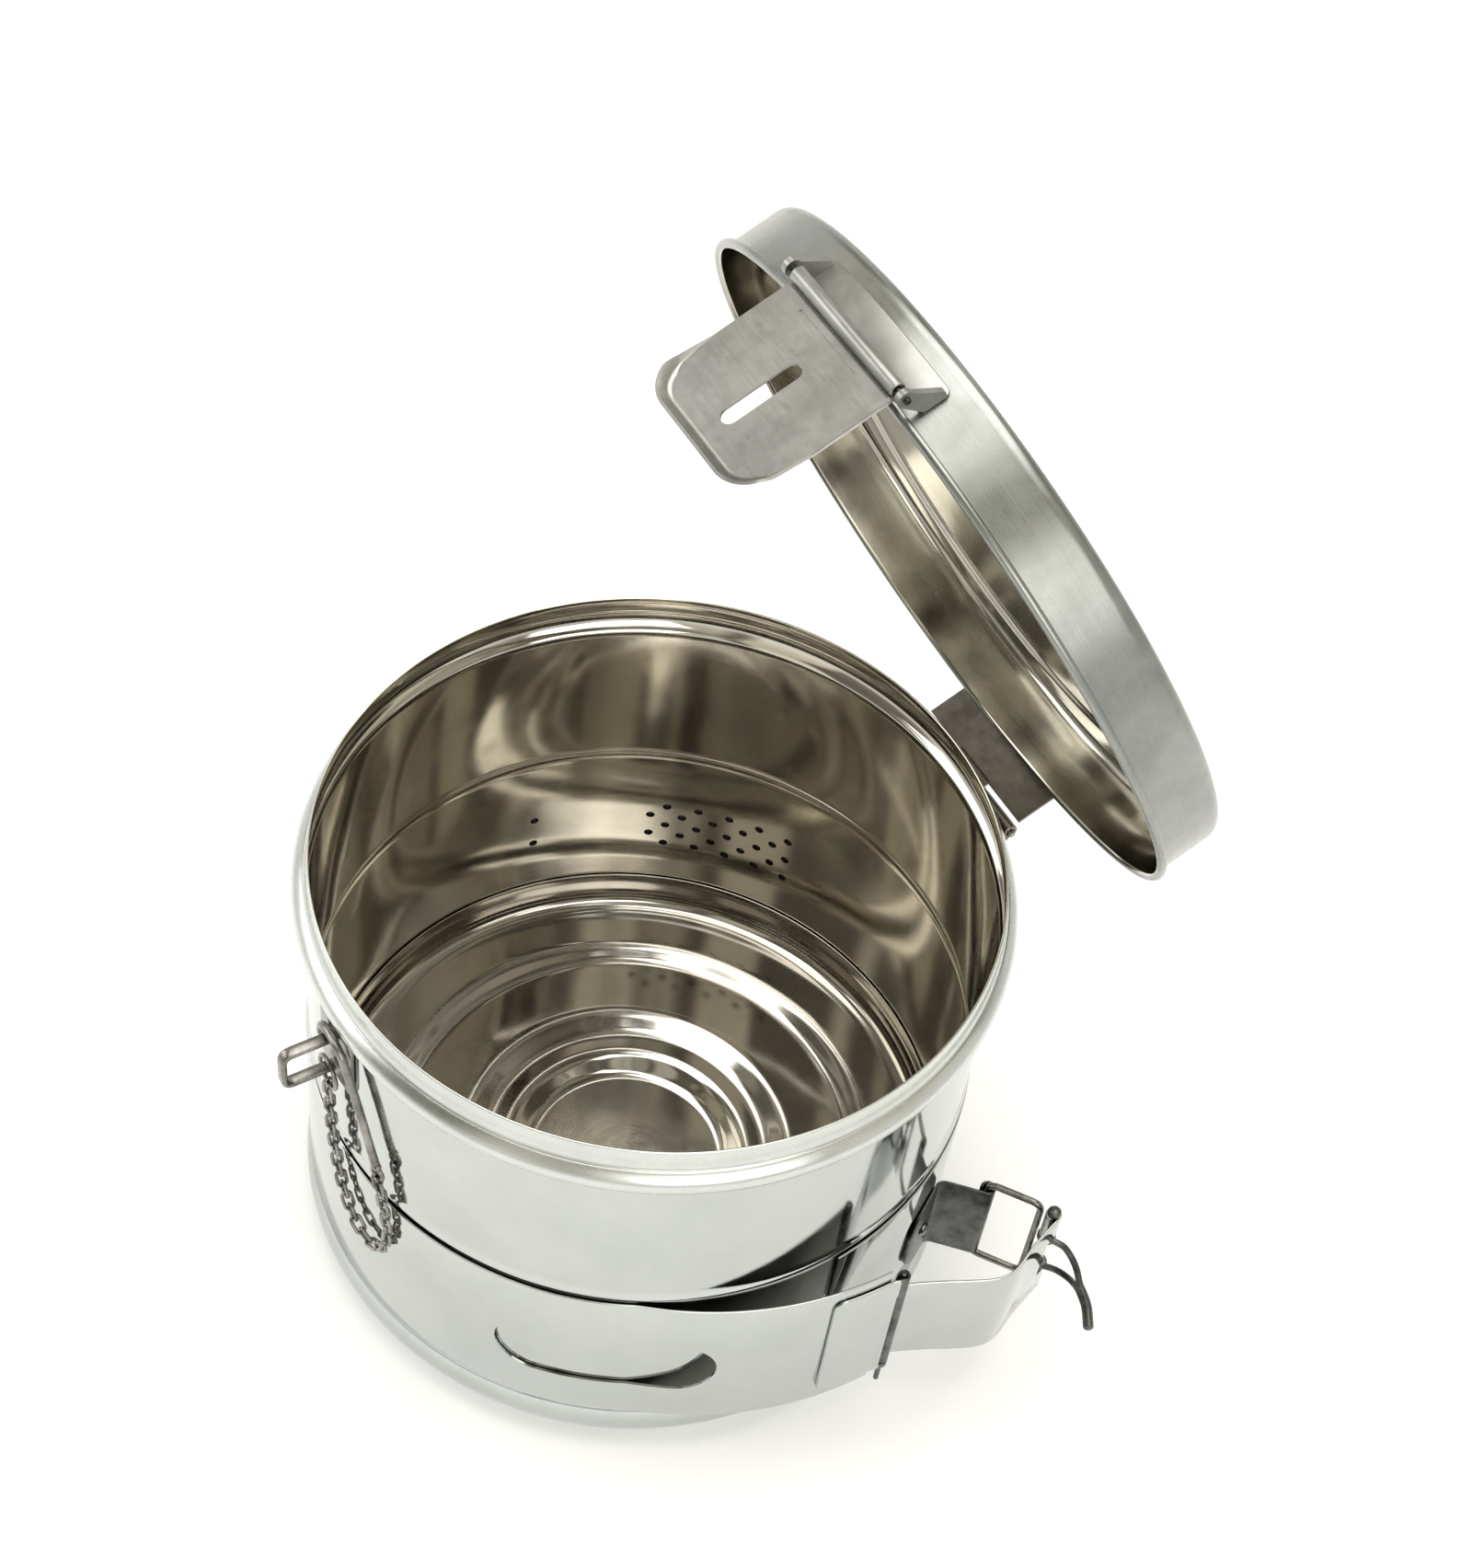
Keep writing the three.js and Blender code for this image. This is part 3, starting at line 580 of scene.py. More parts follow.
outer_mirror = steel("outer_mirror", (0.51, 0.535, 0.525), (0.46, 0.485, 0.475), (0.04, 0.13), 0.0006, 0.25)
inner_mirror = steel("inner_mirror", (0.68, 0.655, 0.585), (0.58, 0.555, 0.49), (0.05, 0.12), 0.0003, 0.45)
floor_mirror = steel("floor_mirror", (0.48, 0.46, 0.42), (0.40, 0.38, 0.34), (0.06, 0.14), 0.0003, 0.45)
rim_satin = steel("rim_satin", (0.62, 0.64, 0.62), (0.54, 0.56, 0.54), (0.22, 0.34), 0.0006, 0.1)
lid_satin = steel("lid_satin", (0.36, 0.37, 0.355), (0.24, 0.25, 0.235), (0.22, 0.38), 0.003, 0.2)
lid_inner = steel("lid_inner", (0.50, 0.48, 0.42), (0.38, 0.36, 0.30), (0.07, 0.16), 0.0005, 0.3)
# The band's inner face is painted dark: painted shade for the shade between the band and the wall, seen
# through the steam holes.
band_inside_painted_shade = steel("band_inside_painted_shade", (0.26, 0.25, 0.22), (0.16, 0.15, 0.13), (0.25, 0.4), 0.0006, 0.1)
satin = steel("satin", (0.37, 0.37, 0.355), (0.28, 0.28, 0.265), (0.30, 0.46), 0.004, 0.05, "across", 45.0)
aged = steel("aged", (0.26, 0.24, 0.21), (0.13, 0.12, 0.10), (0.25, 0.45), 0.003, 0.05, "across", 60.0)
wire = steel("wire", (0.32, 0.31, 0.29), (0.15, 0.145, 0.13), (0.20, 0.36), 0.001, 0.0, "across", 90.0)
# Dark steel for the wire parts and pins. The same dark is also laid as painted shade on the steam holes' cut
# edges, the rolls round the strap's pin and the catch.
dark_wire_and_painted_shade = steel(
    "dark_wire_and_painted_shade", (0.14, 0.145, 0.14), (0.05, 0.05, 0.05), (0.25, 0.45), 0.001, 0.0, "across", 90.0)


def finishes(piece, materials, choose):
    """Several finishes on one sheet: choose(face) gives the number of the face's material."""
    piece.data.materials.clear()
    for material in materials:
        piece.data.materials.append(material)
    for polygon in piece.data.polygons:
        polygon.material_index = choose(polygon)


def radial(point):
    return Vector((point.x, point.y, 0)).normalized()


# ---- drum ----
def through_wall(outline, angle, z, start=125, end=170):
    """A cutter through the wall or the band, between two radii."""
    cx, cy = on_circle(1, angle)

    def place(u, v, depth):
        r = start + depth
        return (cx * r - cy * u, cy * r + cx * u, z + v)
    return prism(outline, end - start, place)


def vent_cutters():
    """Three groups of steam holes in a chequered pattern, and the two single holes."""
    hole = circle(HOLE_R)
    degrees_per_mm = 180 / (math.pi * WALL_R)
    cutters = []
    for middle in VENT_ANGLES:
        for row in range(HOLE_ROWS):
            for column in range(row % 2, HOLE_COLUMNS, 2):
                sideways = (column - (HOLE_COLUMNS - 1) / 2) * HOLE_PITCH
                angle = middle + sideways * degrees_per_mm
                height = HOLE_Z + (row - (HOLE_ROWS - 1) / 2) * HOLE_ROW
                cutters.append(through_wall(hole, angle, height, HOLE_FROM, HOLE_TO))
    for height in (HOLE_Z - SIGHT_OFF, HOLE_Z + SIGHT_OFF):
        cutters.append(through_wall(hole, SIGHT_ANGLE, height, HOLE_FROM, HOLE_TO))
    return cutters


# From the foot up: base bead, straight wall, small bead over the band, straight wall, rim bead, neck.
wall_line = rounded([
    (129.5, 0.5), (130.5, 3), (133.5, 9), (137.3, 16), (137.6, 22), (136.1, 26.5), (WALL_MIDDLE, 28.5),
    (WALL_MIDDLE, 115.5), (135.7, 118), (WALL_MIDDLE, 120.5), (WALL_MIDDLE, 196), (137.1, 197.6),
    (139.1, 200.4), (139.5, 203), (139.1, 205.2), (136.7, 207.4), (134, 209), (133.4, 218)], 4)
wall = mesh_object(
    "wall", revolve(sheet_outline(wall_line, SHEET)), "drum", outer_mirror,
    ["drum_wall"], cutters=vent_cutters(), sharp=50)


def wall_direction(point):
    if STRAIGHT_LOW * MM < point.z < STRAIGHT_HIGH * MM or UPPER_LOW * MM < point.z < UPPER_HIGH * MM:
        return radial(point)
    return None


true_normals(wall, wall_direction)


def wall_finish_and_painted_shade(face):
    """0 outside, 1 inside, 2 on the cut edge of a steam hole, painted dark as painted shade in the hole, and
    3 on the worn rim bead and neck.
    """
    outwards = face.normal.dot(radial(face.center))
    if face.center.z > RIM_FROM * MM and outwards > 0:
        return 3
    if abs(outwards) < 0.25 and STRAIGHT_LOW * MM < face.center.z < STRAIGHT_HIGH * MM:
        return 2
    return 1 if outwards < -0.25 else 0


# the steam holes' cut edges get the dark steel as painted shade
finishes(wall, (outer_mirror, inner_mirror, dark_wire_and_painted_shade, rim_satin), wall_finish_and_painted_shade)

flange = WALL_R - SHEET * 1.5 - GAP
floor_line = [(flange, 32), (flange, 21), (flange - 2, 16.5), (flange - 6, FLOOR_EDGE_LOW)]
floor_height = FLOOR_EDGE_LOW
for outer_edge, inner_edge, inside in FLOOR_RINGS:
    floor_line += [(outer_edge, floor_height), (inner_edge, inside)]
    floor_height = inside
floor_line.append((0, floor_height))
floor_line = rounded(floor_line, 3.5)
mesh_object(
    "floor_pan", revolve(sheet_outline(floor_line, SHEET)), "drum", floor_mirror,
    ["drum_floor"], sharp=60)

mesh_object(
    "staple_plate", curved_plate(
        WALL_R + GAP, STAPLE_PLATE_T, -90, STAPLE_PLATE_W, STAPLE_PLATE_LOW, STAPLE_PLATE_HIGH, 4),
    "drum", satin, ["staple_plate"])

staple_root = -(WALL_R + GAP + STAPLE_PLATE_T + GAP)
staple_out = -(STAPLE_OUT - STAPLE_T / 2)
staple_half = (STAPLE_H - STAPLE_T) / 2
staple_line = rounded([
    (staple_root, STAPLE_Z + staple_half), (staple_out, STAPLE_Z + staple_half),
    (staple_out, STAPLE_Z - staple_half), (staple_root, STAPLE_Z - staple_half)], 4, 8)
mesh_object(
    "staple_loop", strip(staple_line, STAPLE_T, in_profile, STAPLE_W / 2), "drum", wire,
    ["staple"])


def knuckle(start, end):
    """One roll of the lid's hinge, between two places along X."""
    collar = collar_outline(KNUCKLE_R, KNUCKLE_BORE, (end - start) / 2)
    return lying_along_x(revolve(collar, 48), (start + end) / 2, HINGE_Y, HINGE_Z)


# The leaf slopes out from the wall, and a tongue on each side of the lid's knuckle goes on to the pin.
leaf_foot = WALL_R + GAP + LEAF_T / 2
slope_top = Vector((HINGE_Y, HINGE_Z - 2.8))
slope_foot = Vector((leaf_foot, SLOPE_FOOT))
slope_notch = slope_top + (slope_foot - slope_top).normalized() * 1.8
slope_line = rounded([(leaf_foot, 160), tuple(slope_foot), tuple(slope_notch)], 4, 6)
half_leaf = LEAF_W / 2
side_half = (half_leaf - KNUCKLE_HALF - GAP) / 2
side_middle = half_leaf - side_half
body_leaf_shape = [
    curved_plate(WALL_R + GAP, LEAF_T, 90, LEAF_W, LEAF_LOW, LEAF_HIGH, 5),
    strip(slope_line, LEAF_T, in_profile, half_leaf),
    knuckle(-half_leaf, -KNUCKLE_HALF - GAP), knuckle(KNUCKLE_HALF + GAP, half_leaf)]
for side in (-1, 1):
    tongue = [tuple(slope_notch - (slope_top - slope_notch) * 0.5), tuple(slope_top)]
    body_leaf_shape.append(strip(tongue, LEAF_T, in_profile, side_half, side * side_middle))
mesh_object(
    "body_leaf", merge(*body_leaf_shape), "drum", aged, ["body_hinge_leaf"])
mesh_object(
    "hinge_rod", lying_along_x(
        revolve(rod_outline(HINGE_PIN_R, half_leaf + HINGE_PIN_OUT), 40), 0, HINGE_Y, HINGE_Z),
    "drum", wire, ["hinge_pin"])

# ---- lid, drawn closed and placed open ----
hem_z = HEM_LOW + HEM_R + SHEET / 2
lid_line = arc(LID_R + HEM_R, hem_z, HEM_R, 400, 180, 18)
first_ring = LID_RINGS[0][0]
lid_line += rounded([(LID_R, hem_z), (LID_R, LID_TOP), (first_ring, LID_TOP)], 5, 8)[1:-1]
lid_height = LID_TOP
lid_corners = [(first_ring + 4, LID_TOP)]
for outer_edge, inner_edge, drop in LID_RINGS:
    lid_corners += [(outer_edge, lid_height), (inner_edge, LID_TOP + drop)]
    lid_height = LID_TOP + drop
lid_corners.append((0, lid_height))
lid_line += rounded(lid_corners, 2)
lid = mesh_object(
    "lid_pan", revolve(sheet_outline(lid_line, SHEET)), "lid", lid_satin, ["lid_shell"],
    place=OPENED, sharp=60)


def under_lid(face):
    """Whether a face of the closed lid looks down or inwards."""
    inwards = face.normal.dot(radial(face.center)) < -0.3
    if face.center.z > LID_TOP_FROM * MM:
        return face.normal.z < -0.3 or inwards
    return inwards and math.hypot(*face.center.xy) < LID_R * MM


finishes(lid, (lid_satin, lid_inner), lambda face: int(under_lid(face)))

leaf_in = HINGE_Y - KNUCKLE_R + LEAF_T / 2
skirt = LID_R + SHEET / 2 + GAP
drop_line = rounded([
    (leaf_in, HINGE_Z + 4.8), (leaf_in, 214.6), (skirt + LEAF_T / 2, 220), (skirt + LEAF_T / 2, 226)], 4, 6)
neck_line = [(leaf_in, HINGE_Z), (leaf_in, HINGE_Z + 6)]
mesh_object(
    "lid_leaf", merge(
        curved_plate(skirt, LEAF_T, 90, LEAF_W, LID_LEAF_LOW, LID_LEAF_HIGH, 4),
        strip(drop_line, LEAF_T, in_profile, half_leaf),
        strip(neck_line, LEAF_T, in_profile, KNUCKLE_HALF - 0.2),
        knuckle(-KNUCKLE_HALF, KNUCKLE_HALF)),
    "lid", aged, ["lid_hinge_leaf"], place=OPENED)

tab_outline = arc(HASP_Y, HASP_Z, 3.2, 100, 320, 24) + [(-134.3, 217), (-134.3, 226), (-137, 226)]


def tab(x):
    """A side of the hasp's bracket, with its middle at x."""
    return prism(tab_outline, TAB_T, lambda y, z, depth: (x - TAB_T / 2 + depth, y, z))


mesh_object(
    "hasp_mount", merge(
        curved_plate(skirt, HASP_T, -90, 2 * TAB_X + TAB_T, 216, 228, 2), tab(-TAB_X), tab(TAB_X)),
    "lid", satin, ["hasp_bracket"], place=OPENED)
pin_half = TAB_X + TAB_T / 2 + 1.2
mesh_object(
    "hasp_rod", lying_along_x(revolve(rod_outline(HASP_PIN_R, pin_half), 32), 0, HASP_Y, HASP_Z),
    "lid", dark_wire_and_painted_shade, ["hasp_pin"], place=OPENED)


# ---- hasp: a flat plate with a lip that follows its lower edge and corners ----
def hasp_shape():
    """The middle surface of the plate: its flat face, and rows of points out along the lip."""
    half = HASP_W / 2
    bottom, corner = 151.6, 14
    bend, lip, lip_turn, turn_steps = 3.0, 3.6, math.radians(52), 7
    lip_from, lip_grows = 172, 12  # the lip starts at this height and is full this far below it
    edge = [(-half, HASP_Z), (-half, 195), (-half, 180)]
    edge += arc(-half + corner, bottom + corner, corner, 180, 270, 14)
    edge += [(-8, bottom), (8, bottom)]
    edge += arc(half - corner, bottom + corner, corner, 270, 360, 14)
    edge += [(half, 180), (half, 195), (half, HASP_Z)]
    inward = [(a - b, c - d) for (a, c), (b, d) in zip(offset_line(edge, 1.0), edge)]
    reach = bend * math.sin(lip_turn) + lip * math.cos(lip_turn)
    rows = []
    for turn in range(-1, turn_steps + 2):
        angle = lip_turn * min(max(turn, 0), turn_steps) / turn_steps
        row = []
        for (x, z), (nx, nz) in zip(edge, inward):
            share = min(1.0, max(0.03, (lip_from - z) / lip_grows))
            inset = share * (reach - bend * math.sin(angle))
            out = share * bend * (1 - math.cos(angle))
            if turn < 0:
                inset += 1.5
            if turn > turn_steps:
                inset = 0
                out += share * lip * math.sin(angle)
            row.append((x + nx * inset, HASP_PLATE_Y - out, z + nz * inset))
        rows.append(row)
    points = [p for row in rows for p in row]
    count = len(edge)
    faces = [tuple(range(count))]
    for i in range(len(rows) - 1):
        for j in range(count - 1):
            a, b = i * count + j, (i + 1) * count + j
            faces.append((a, a + 1, b + 1, b))
    return points, faces


def hasp_piece():
    """The hasp's surface given its thickness, as a shape again."""
    mesh = make_mesh("hasp_face", hasp_shape())
    outward(mesh)
    piece = bpy.data.objects.new("hasp_face", mesh)
    bpy.context.scene.collection.objects.link(piece)
    thick = piece.modifiers.new("sheet", "SOLIDIFY")
    thick.thickness = HASP_T * MM
    thick.offset = 0
    apply_modifiers(piece)
    points = [tuple(v.co / MM) for v in piece.data.vertices]
    faces = [tuple(p.vertices) for p in piece.data.polygons]
    bpy.data.objects.remove(piece)
    return points, faces


def into_hasp(outline, x, z, front, depth):
    """A cutter along Y, from front, round a place on the plate."""
    return prism(outline, depth, lambda across, up, along: (x + across, front + along, z + up))


hasp_roll = HASP_PLATE_Y - HASP_Y
roll_line = arc(HASP_Y, HASP_Z, hasp_roll, 262, 0, 24) + [(HASP_PLATE_Y, 209)]
upright_slot = [(v, u) for u, v in slot_outline(HASP_SLOT_HALF, HASP_SLOT_R)]
hasp_cutters = [
    into_hasp(upright_slot, 0, HASP_SLOT_Z, -160, 30),
    into_hasp(slot_outline(17, 0.55, 6), -2, 206, -163.1, 20)]  # a pressed line near the top
hasp = mesh_object(
    "hasp_flap", hasp_piece(), "hasp", satin, ["hasp_plate"], place=OPENED,
    cutters=hasp_cutters, bevel=0.25)
true_normals(hasp, lambda point: Vector((0, -1, 0)), 0.9995)
mesh_object(
    "hasp_knuckle", strip(roll_line, HASP_T, in_profile, HASP_W / 2), "hasp", satin, [],
    place=OPENED)


# ---- band ----
def band_radius(angle):
    """Radius of the band's middle line, which grows where the free end stands off the wall."""
    free = max(0.0, angle - BAND_LEAVES)
    return WALL_R + GAP + BAND_T / 2 + BAND_SPRING * (free / (BAND_END - BAND_LEAVES)) ** 1.1


def band_line(start, end, outwards, steps):
    angles = [start + (end - start) * i / steps for i in range(steps + 1)]
    return [on_circle(band_radius(angle) + outwards, angle) for angle in angles]


def band_direction(point):
    """The band's outward direction at a point, away from its upper and lower edges."""
    if not (BAND_BOTTOM + 1) * MM < point.z < (BAND_TOP - 1) * MM:
        return None
    angle = math.degrees(math.atan2(point.y, point.x)) % 360
    radius = math.hypot(point.x, point.y) / MM
    if angle < BAND_END - 360 and radius > WALL_R + 5:
        angle += 360
    ahead = on_circle(band_radius(angle + 0.2), angle + 0.2)
    behind = on_circle(band_radius(angle - 0.2), angle - 0.2)
    tangent = Vector((ahead[0] - behind[0], ahead[1] - behind[1], 0)).normalized()
    return Vector((tangent.y, -tangent.x, 0))


band_middle = (BAND_BOTTOM + BAND_TOP) / 2
band_half = (BAND_TOP - BAND_BOTTOM) / 2
window = slot_outline(WINDOW_HALF_W, WINDOW_HALF_H, 40)
band_cutters = [through_wall(window, angle, WINDOW_Z) for angle in WINDOW_ANGLES]
band_cutters.append(through_wall(circle(RIVET_R + GAP), RIVET_ANGLE, CLASP_Z, 130, 137.2))
whole_band = band_line(BAND_START, BAND_END, 0, BAND_STEPS)
band = mesh_object(
    "band_sheet", strip(whole_band, BAND_T, in_plan, band_half, band_middle),
    "band", outer_mirror, ["band_strip"], cutters=band_cutters, sharp=50)
true_normals(band, band_direction)
# the band's inner faces get the painted shade
finishes(band, (outer_mirror, band_inside_painted_shade), lambda face: int(face.normal.dot(radial(face.center)) < -0.3))

plate_out = BAND_T / 2 + GAP + CLASP_T / 2
arm_pin = on_circle(band_radius(BAND_END) + plate_out + GAP, STRAP_ROOT)


def pin_roll_painted_shade(face):
    """The rolls round the strap's pin are painted dark, as painted shade for the gap between the rolls; the
    rest of the sheet is polished.
    """
    away = math.hypot(face.center.x / MM - arm_pin[0], face.center.y / MM - arm_pin[1])
    return int(away < ROOT_CURL_R + CLASP_T)


def even_line(line, spacing):
    """The same line with its points at most spacing apart."""
    points = [line[0]]
    for (x0, y0), (x1, y1) in zip(line, line[1:]):
        steps = max(1, math.ceil(math.hypot(x1 - x0, y1 - y0) / spacing))
        for i in range(1, steps + 1):
            points.append((x0 + (x1 - x0) * i / steps, y0 + (y1 - y0) * i / steps))
    return points


def upright_rod(place, radius, low, high, edge=0.0, steps=40):
    """A rod along Z at a place in plan. It also serves as the cutter of a notch in a rolled edge."""
    half = (high - low) / 2
    return moved(revolve(rod_outline(radius, half, edge), steps), Matrix.Translation((*place, low + half)))


def curl(centre, start):
    """Three quarters of a turn round a pin or wire."""
    return arc(*centre, CURL_R, start, start + 270, 30)


# The end plate lies on the band's free end and rolls round the pin above and below the strap.
end_line = even_line([
    *band_line(PLATE_START, BAND_END, plate_out, 12), *arc(*arm_pin, ROOT_CURL_R, 5, 240, 24)], 0.5)
end_plate = mesh_object(
    "end_plate", strip(
        end_line, CLASP_T, in_plan, corner_width(band_half - PLATE_SHORT, PLATE_CORNER), band_middle),
    "band", outer_mirror, ["band_end_plate"],
    cutters=[upright_rod(arm_pin, ROOT_CUT_R, CLASP_LOW - GAP, CLASP_HIGH + GAP)], sharp=50)
# the end plate's roll round the pin is painted dark as painted shade
finishes(end_plate, (outer_mirror, dark_wire_and_painted_shade), pin_roll_painted_shade)
mesh_object(
    "strap_pin", upright_rod(arm_pin, ARM_PIN_R, ARM_PIN_LOW, ARM_PIN_HIGH, 0.4), "band",
    dark_wire_and_painted_shade, ["arm_pin"])

# The strap rolls round its own pin at the root and round the lever's pin at the far end.
strap_root = arc(*arm_pin, ROOT_CURL_R, 440, 170, 30)
strap_end = curl(LEVER, STRAP_TURN)
strap_bend = rounded([
    strap_root[-1], (150.5, 40), (155.2, 51), (160.3, 61.5), (164.4, 71), (165, 77.5), (163, 83.5),
    (158.6, 92), strap_end[0]], 5, 5)
strap_line = even_line([*strap_root, *strap_bend[1:], *strap_end[1:]], 1.5)
notch_half = EYE_APART + EYE_T / 2 + GAP
strap = mesh_object(
    "clasp_strap", strip(strap_line, CLASP_T, in_plan, (CLASP_HIGH - CLASP_LOW) / 2, CLASP_Z),
    "strap", outer_mirror, ["arm_strap"],
    cutters=[upright_rod(LEVER, END_CUT_R, CLASP_Z - notch_half, CLASP_Z + notch_half)], sharp=50)
# the strap's roll round the pin is painted dark as painted shade
finishes(strap, (outer_mirror, dark_wire_and_painted_shade), pin_roll_painted_shade)


def catch_width(at, total):
    """Half width of the catch, whose end on the band is a round tongue."""
    return round_corner(at, (CATCH_HIGH - CATCH_LOW) / 2, TONGUE_R)


flange_line = arc(0, 0, WALL_R + GAP + BAND_T / 2 + plate_out, 25, 33.5, 12)
catch_end = curl(CATCH, CATCH_TURN)
catch_bend = rounded([flange_line[-1], (114.6, 78.4), (117.3, 81.2), catch_end[0]], 2, 5)
catch_line = even_line([*flange_line, *catch_bend[1:], *catch_end[1:]], 1.2)
# The whole catch takes the dark steel as painted shade, for the shadow it lies in at the band's end.
mesh_object(
    "catch_sheet", strip(catch_line, CLASP_T, in_plan, catch_width, (CATCH_HIGH + CATCH_LOW) / 2),
    "band", dark_wire_and_painted_shade, ["catch_bracket"])

rivet_from = WALL_R + GAP
rivet_seat = rivet_from + BAND_T + GAP + CLASP_T + GAP
rivet_outline = [(0, rivet_from), (RIVET_R, rivet_from), (RIVET_R, rivet_seat), (RIVET_HEAD_R, rivet_seat)]
for turn in (0.1, 0.4, 0.7, 1.0, 1.3):
    rivet_outline.append((RIVET_HEAD_R * math.cos(turn), rivet_seat + 0.3 + 1.4 * math.sin(turn)))
rivet_outline.append((0, rivet_seat + 1.7))
rivet_x, rivet_y = on_circle(1, RIVET_ANGLE)
rivet_place = Matrix((
    (-rivet_y, 0, rivet_x, 0), (rivet_x, 0, rivet_y, 0), (0, 1, 0, CLASP_Z), (0, 0, 0, 1)))
mesh_object(
    "catch_stud", moved(revolve(rivet_outline, 32), rivet_place), "band", wire,
    ["catch_rivet"])

pin_low, pin_high = CLASP_LOW - 4, CLASP_HIGH + GAP
pin_outline = [
    (0, pin_low), (1.1, pin_low), (1.5, pin_low + 0.4), (1.5, pin_high), (2.6, pin_high),
    (2.8, pin_high + 0.3), (2.8, pin_high + 1.4), (2.4, pin_high + 2.1), (1.5, pin_high + 2.6),
    (0, pin_high + 2.8)]
mesh_object(
    "clasp_pin", moved(revolve(pin_outline, 32), Matrix.Translation((*LEVER, 0))),
    "strap", dark_wire_and_painted_shade, ["lever_pin"])


# ---- lever ----
def lever_shape():
    """Two eyes on the pin, with legs that join in one thick tip."""
    shapes = []
    for side in (-1, 1):
        eye_z = CLASP_Z + side * EYE_APART
        collar = collar_outline(LEVER_EYE_R, LEVER_BORE, EYE_T / 2, 0.5)
        shapes.append(moved(revolve(collar, 36), Matrix.Translation((*LEVER, eye_z))))
        leg = spline([
            (LEVER[0] + 2.8, LEVER[1] + 1, eye_z), (158, 112.3, CLASP_Z + side * 9),
            (165.5, 113, CLASP_Z + side * 5.5), (173, 111.2, CLASP_Z + side * 1.2)], 10)
        shapes.append(tube(leg, LEVER_WIRE_R))
    tip = spline([(170.5, 112, CLASP_Z), (180, 109.4, CLASP_Z), (188.5, 104.6, CLASP_Z)], 10)
    shapes.append(tube(tip, LEVER_TIP_R, 20))
    return merge(*shapes)


mesh_object("lever_fork", lever_shape(), "lever", dark_wire_and_painted_shade, ["lever"])

# ---- bail ----
bail_joint = (BAIL_LOW + BAIL_HIGH) / 2
bail_line = rounded([
    (*CATCH, bail_joint + 0.2), (*CATCH, BAIL_HIGH), (*BAIL_FAR, BAIL_HIGH), (*BAIL_FAR, BAIL_LOW),
    (*CATCH, BAIL_LOW), (*CATCH, bail_joint - 0.2)], 4.5, 10)
mesh_object("bail_wire", tube(bail_line, WIRE_R), "bail", wire, ["bail"])


# ---- chain and peg ----
leg_z = STAPLE_Z - staple_half
ring_z = leg_z - RING_R + STAPLE_T / 2 + RING_WIRE + 1.2


def on_hang(angle, z, radius=HANG_R):
    """A place just off the drum's wall, where the chain hangs."""
    return (*on_circle(radius, angle), z)


ring_line = []
for step in range(48):
    ring_turn = 2 * math.pi * step / 48
    ring_line.append((RING_R * math.cos(ring_turn), -HANG_R, ring_z + RING_R * math.sin(ring_turn)))
mesh_object(
    "split_ring", tube(ring_line, RING_WIRE, 12, closed=True), "chain", wire, ["chain_ring"])


def link_shape(centre, along, flat):
    """One link along the chain, lying flat to the wall or standing on its edge."""
    outwards = Vector((centre.x, centre.y, 0)).normalized()
    sideways = outwards.cross(along).normalized()
    facing = along.cross(sideways)
    across = sideways if flat else -facing
    turn = LINK_W / 2 - LINK_WIRE
    shift = (LINK_L - LINK_W) / 2
    line = []
    for i in range(24):
        angle = 2 * math.pi * (i + 0.5) / 24
        forward = turn * math.cos(angle)
        forward += math.copysign(shift, forward)
        line.append(centre + along * forward + across * turn * math.sin(angle))
    return tube(line, LINK_WIRE, 10, closed=True)


def chain_places():
    """The centre and direction of each link, evenly along the loop from the ring to the peg's eye."""
    reach = LINK_L / 2 - LINK_WIRE
    clear = RING_WIRE + LINK_WIRE + GAP
    first = ring_z - RING_R + clear - reach
    last = PEG_EYE[1] - PEG_EYE_R + clear - reach
    route = spline([on_hang(angle, z) for angle, z in (
        (-90, first), (-89.6, 138), (-88.2, 116), (-85.6, 96), (-82.2, 83.5), (-78.6, 79.5), (-75.2, 84),
        (-73.8, 97), (-74.4, 114), (PEG_EYE[0], last))], 60)
    lengths = [0.0]
    for a, b in zip(route, route[1:]):
        lengths.append(lengths[-1] + (b - a).length)
    places = []
    at = 0
    for i in range(CHAIN_LINKS):
        wanted = lengths[-1] * i / (CHAIN_LINKS - 1)
        while at < len(route) - 2 and lengths[at + 1] < wanted:
            at += 1
        share = (wanted - lengths[at]) / (lengths[at + 1] - lengths[at])
        places.append((route[at].lerp(route[at + 1], share), (route[at + 1] - route[at]).normalized()))
    return places


for number, (centre, along) in enumerate(chain_places(), start=1):
    mesh_object(
        f"link_{number:02d}", link_shape(centre, along, number % 2 == 0), "chain", wire,
        [f"chain_link_{number:02d}"])


def peg_shape():
    """The peg, hooked over the staple, down to the eye that holds the chain's last link."""
    hook_z = STAPLE_Z + STAPLE_H / 2 + PEG_R + 0.9
    shaft = spline([
        (-6, -PEG_HANG_R, hook_z - 7), (-5.2, -PEG_HANG_R, hook_z - 2), (0, -PEG_HANG_R, hook_z + 0.6),
        (9, -PEG_HANG_R, hook_z), on_hang(-84, 182, PEG_HANG_R), on_hang(-80, 162, PEG_HANG_R),
        on_hang(-77, 143, PEG_HANG_R), on_hang(PEG_EYE[0], PEG_EYE[1] + PEG_EYE_R)], 10)
    centre = Vector(on_hang(*PEG_EYE))
    side = Vector((*on_circle(1, PEG_EYE[0] + 90), 0))
    eye = []
    for i in range(32):
        turn = 2 * math.pi * i / 32
        eye.append(centre + side * PEG_EYE_R * math.cos(turn) + Vector((0, 0, PEG_EYE_R * math.sin(turn))))
    return merge(tube(shaft, PEG_R, 18), tube(eye, RING_WIRE, 12, closed=True))


mesh_object("peg_rod", peg_shape(), "chain", wire, ["locking_peg"])


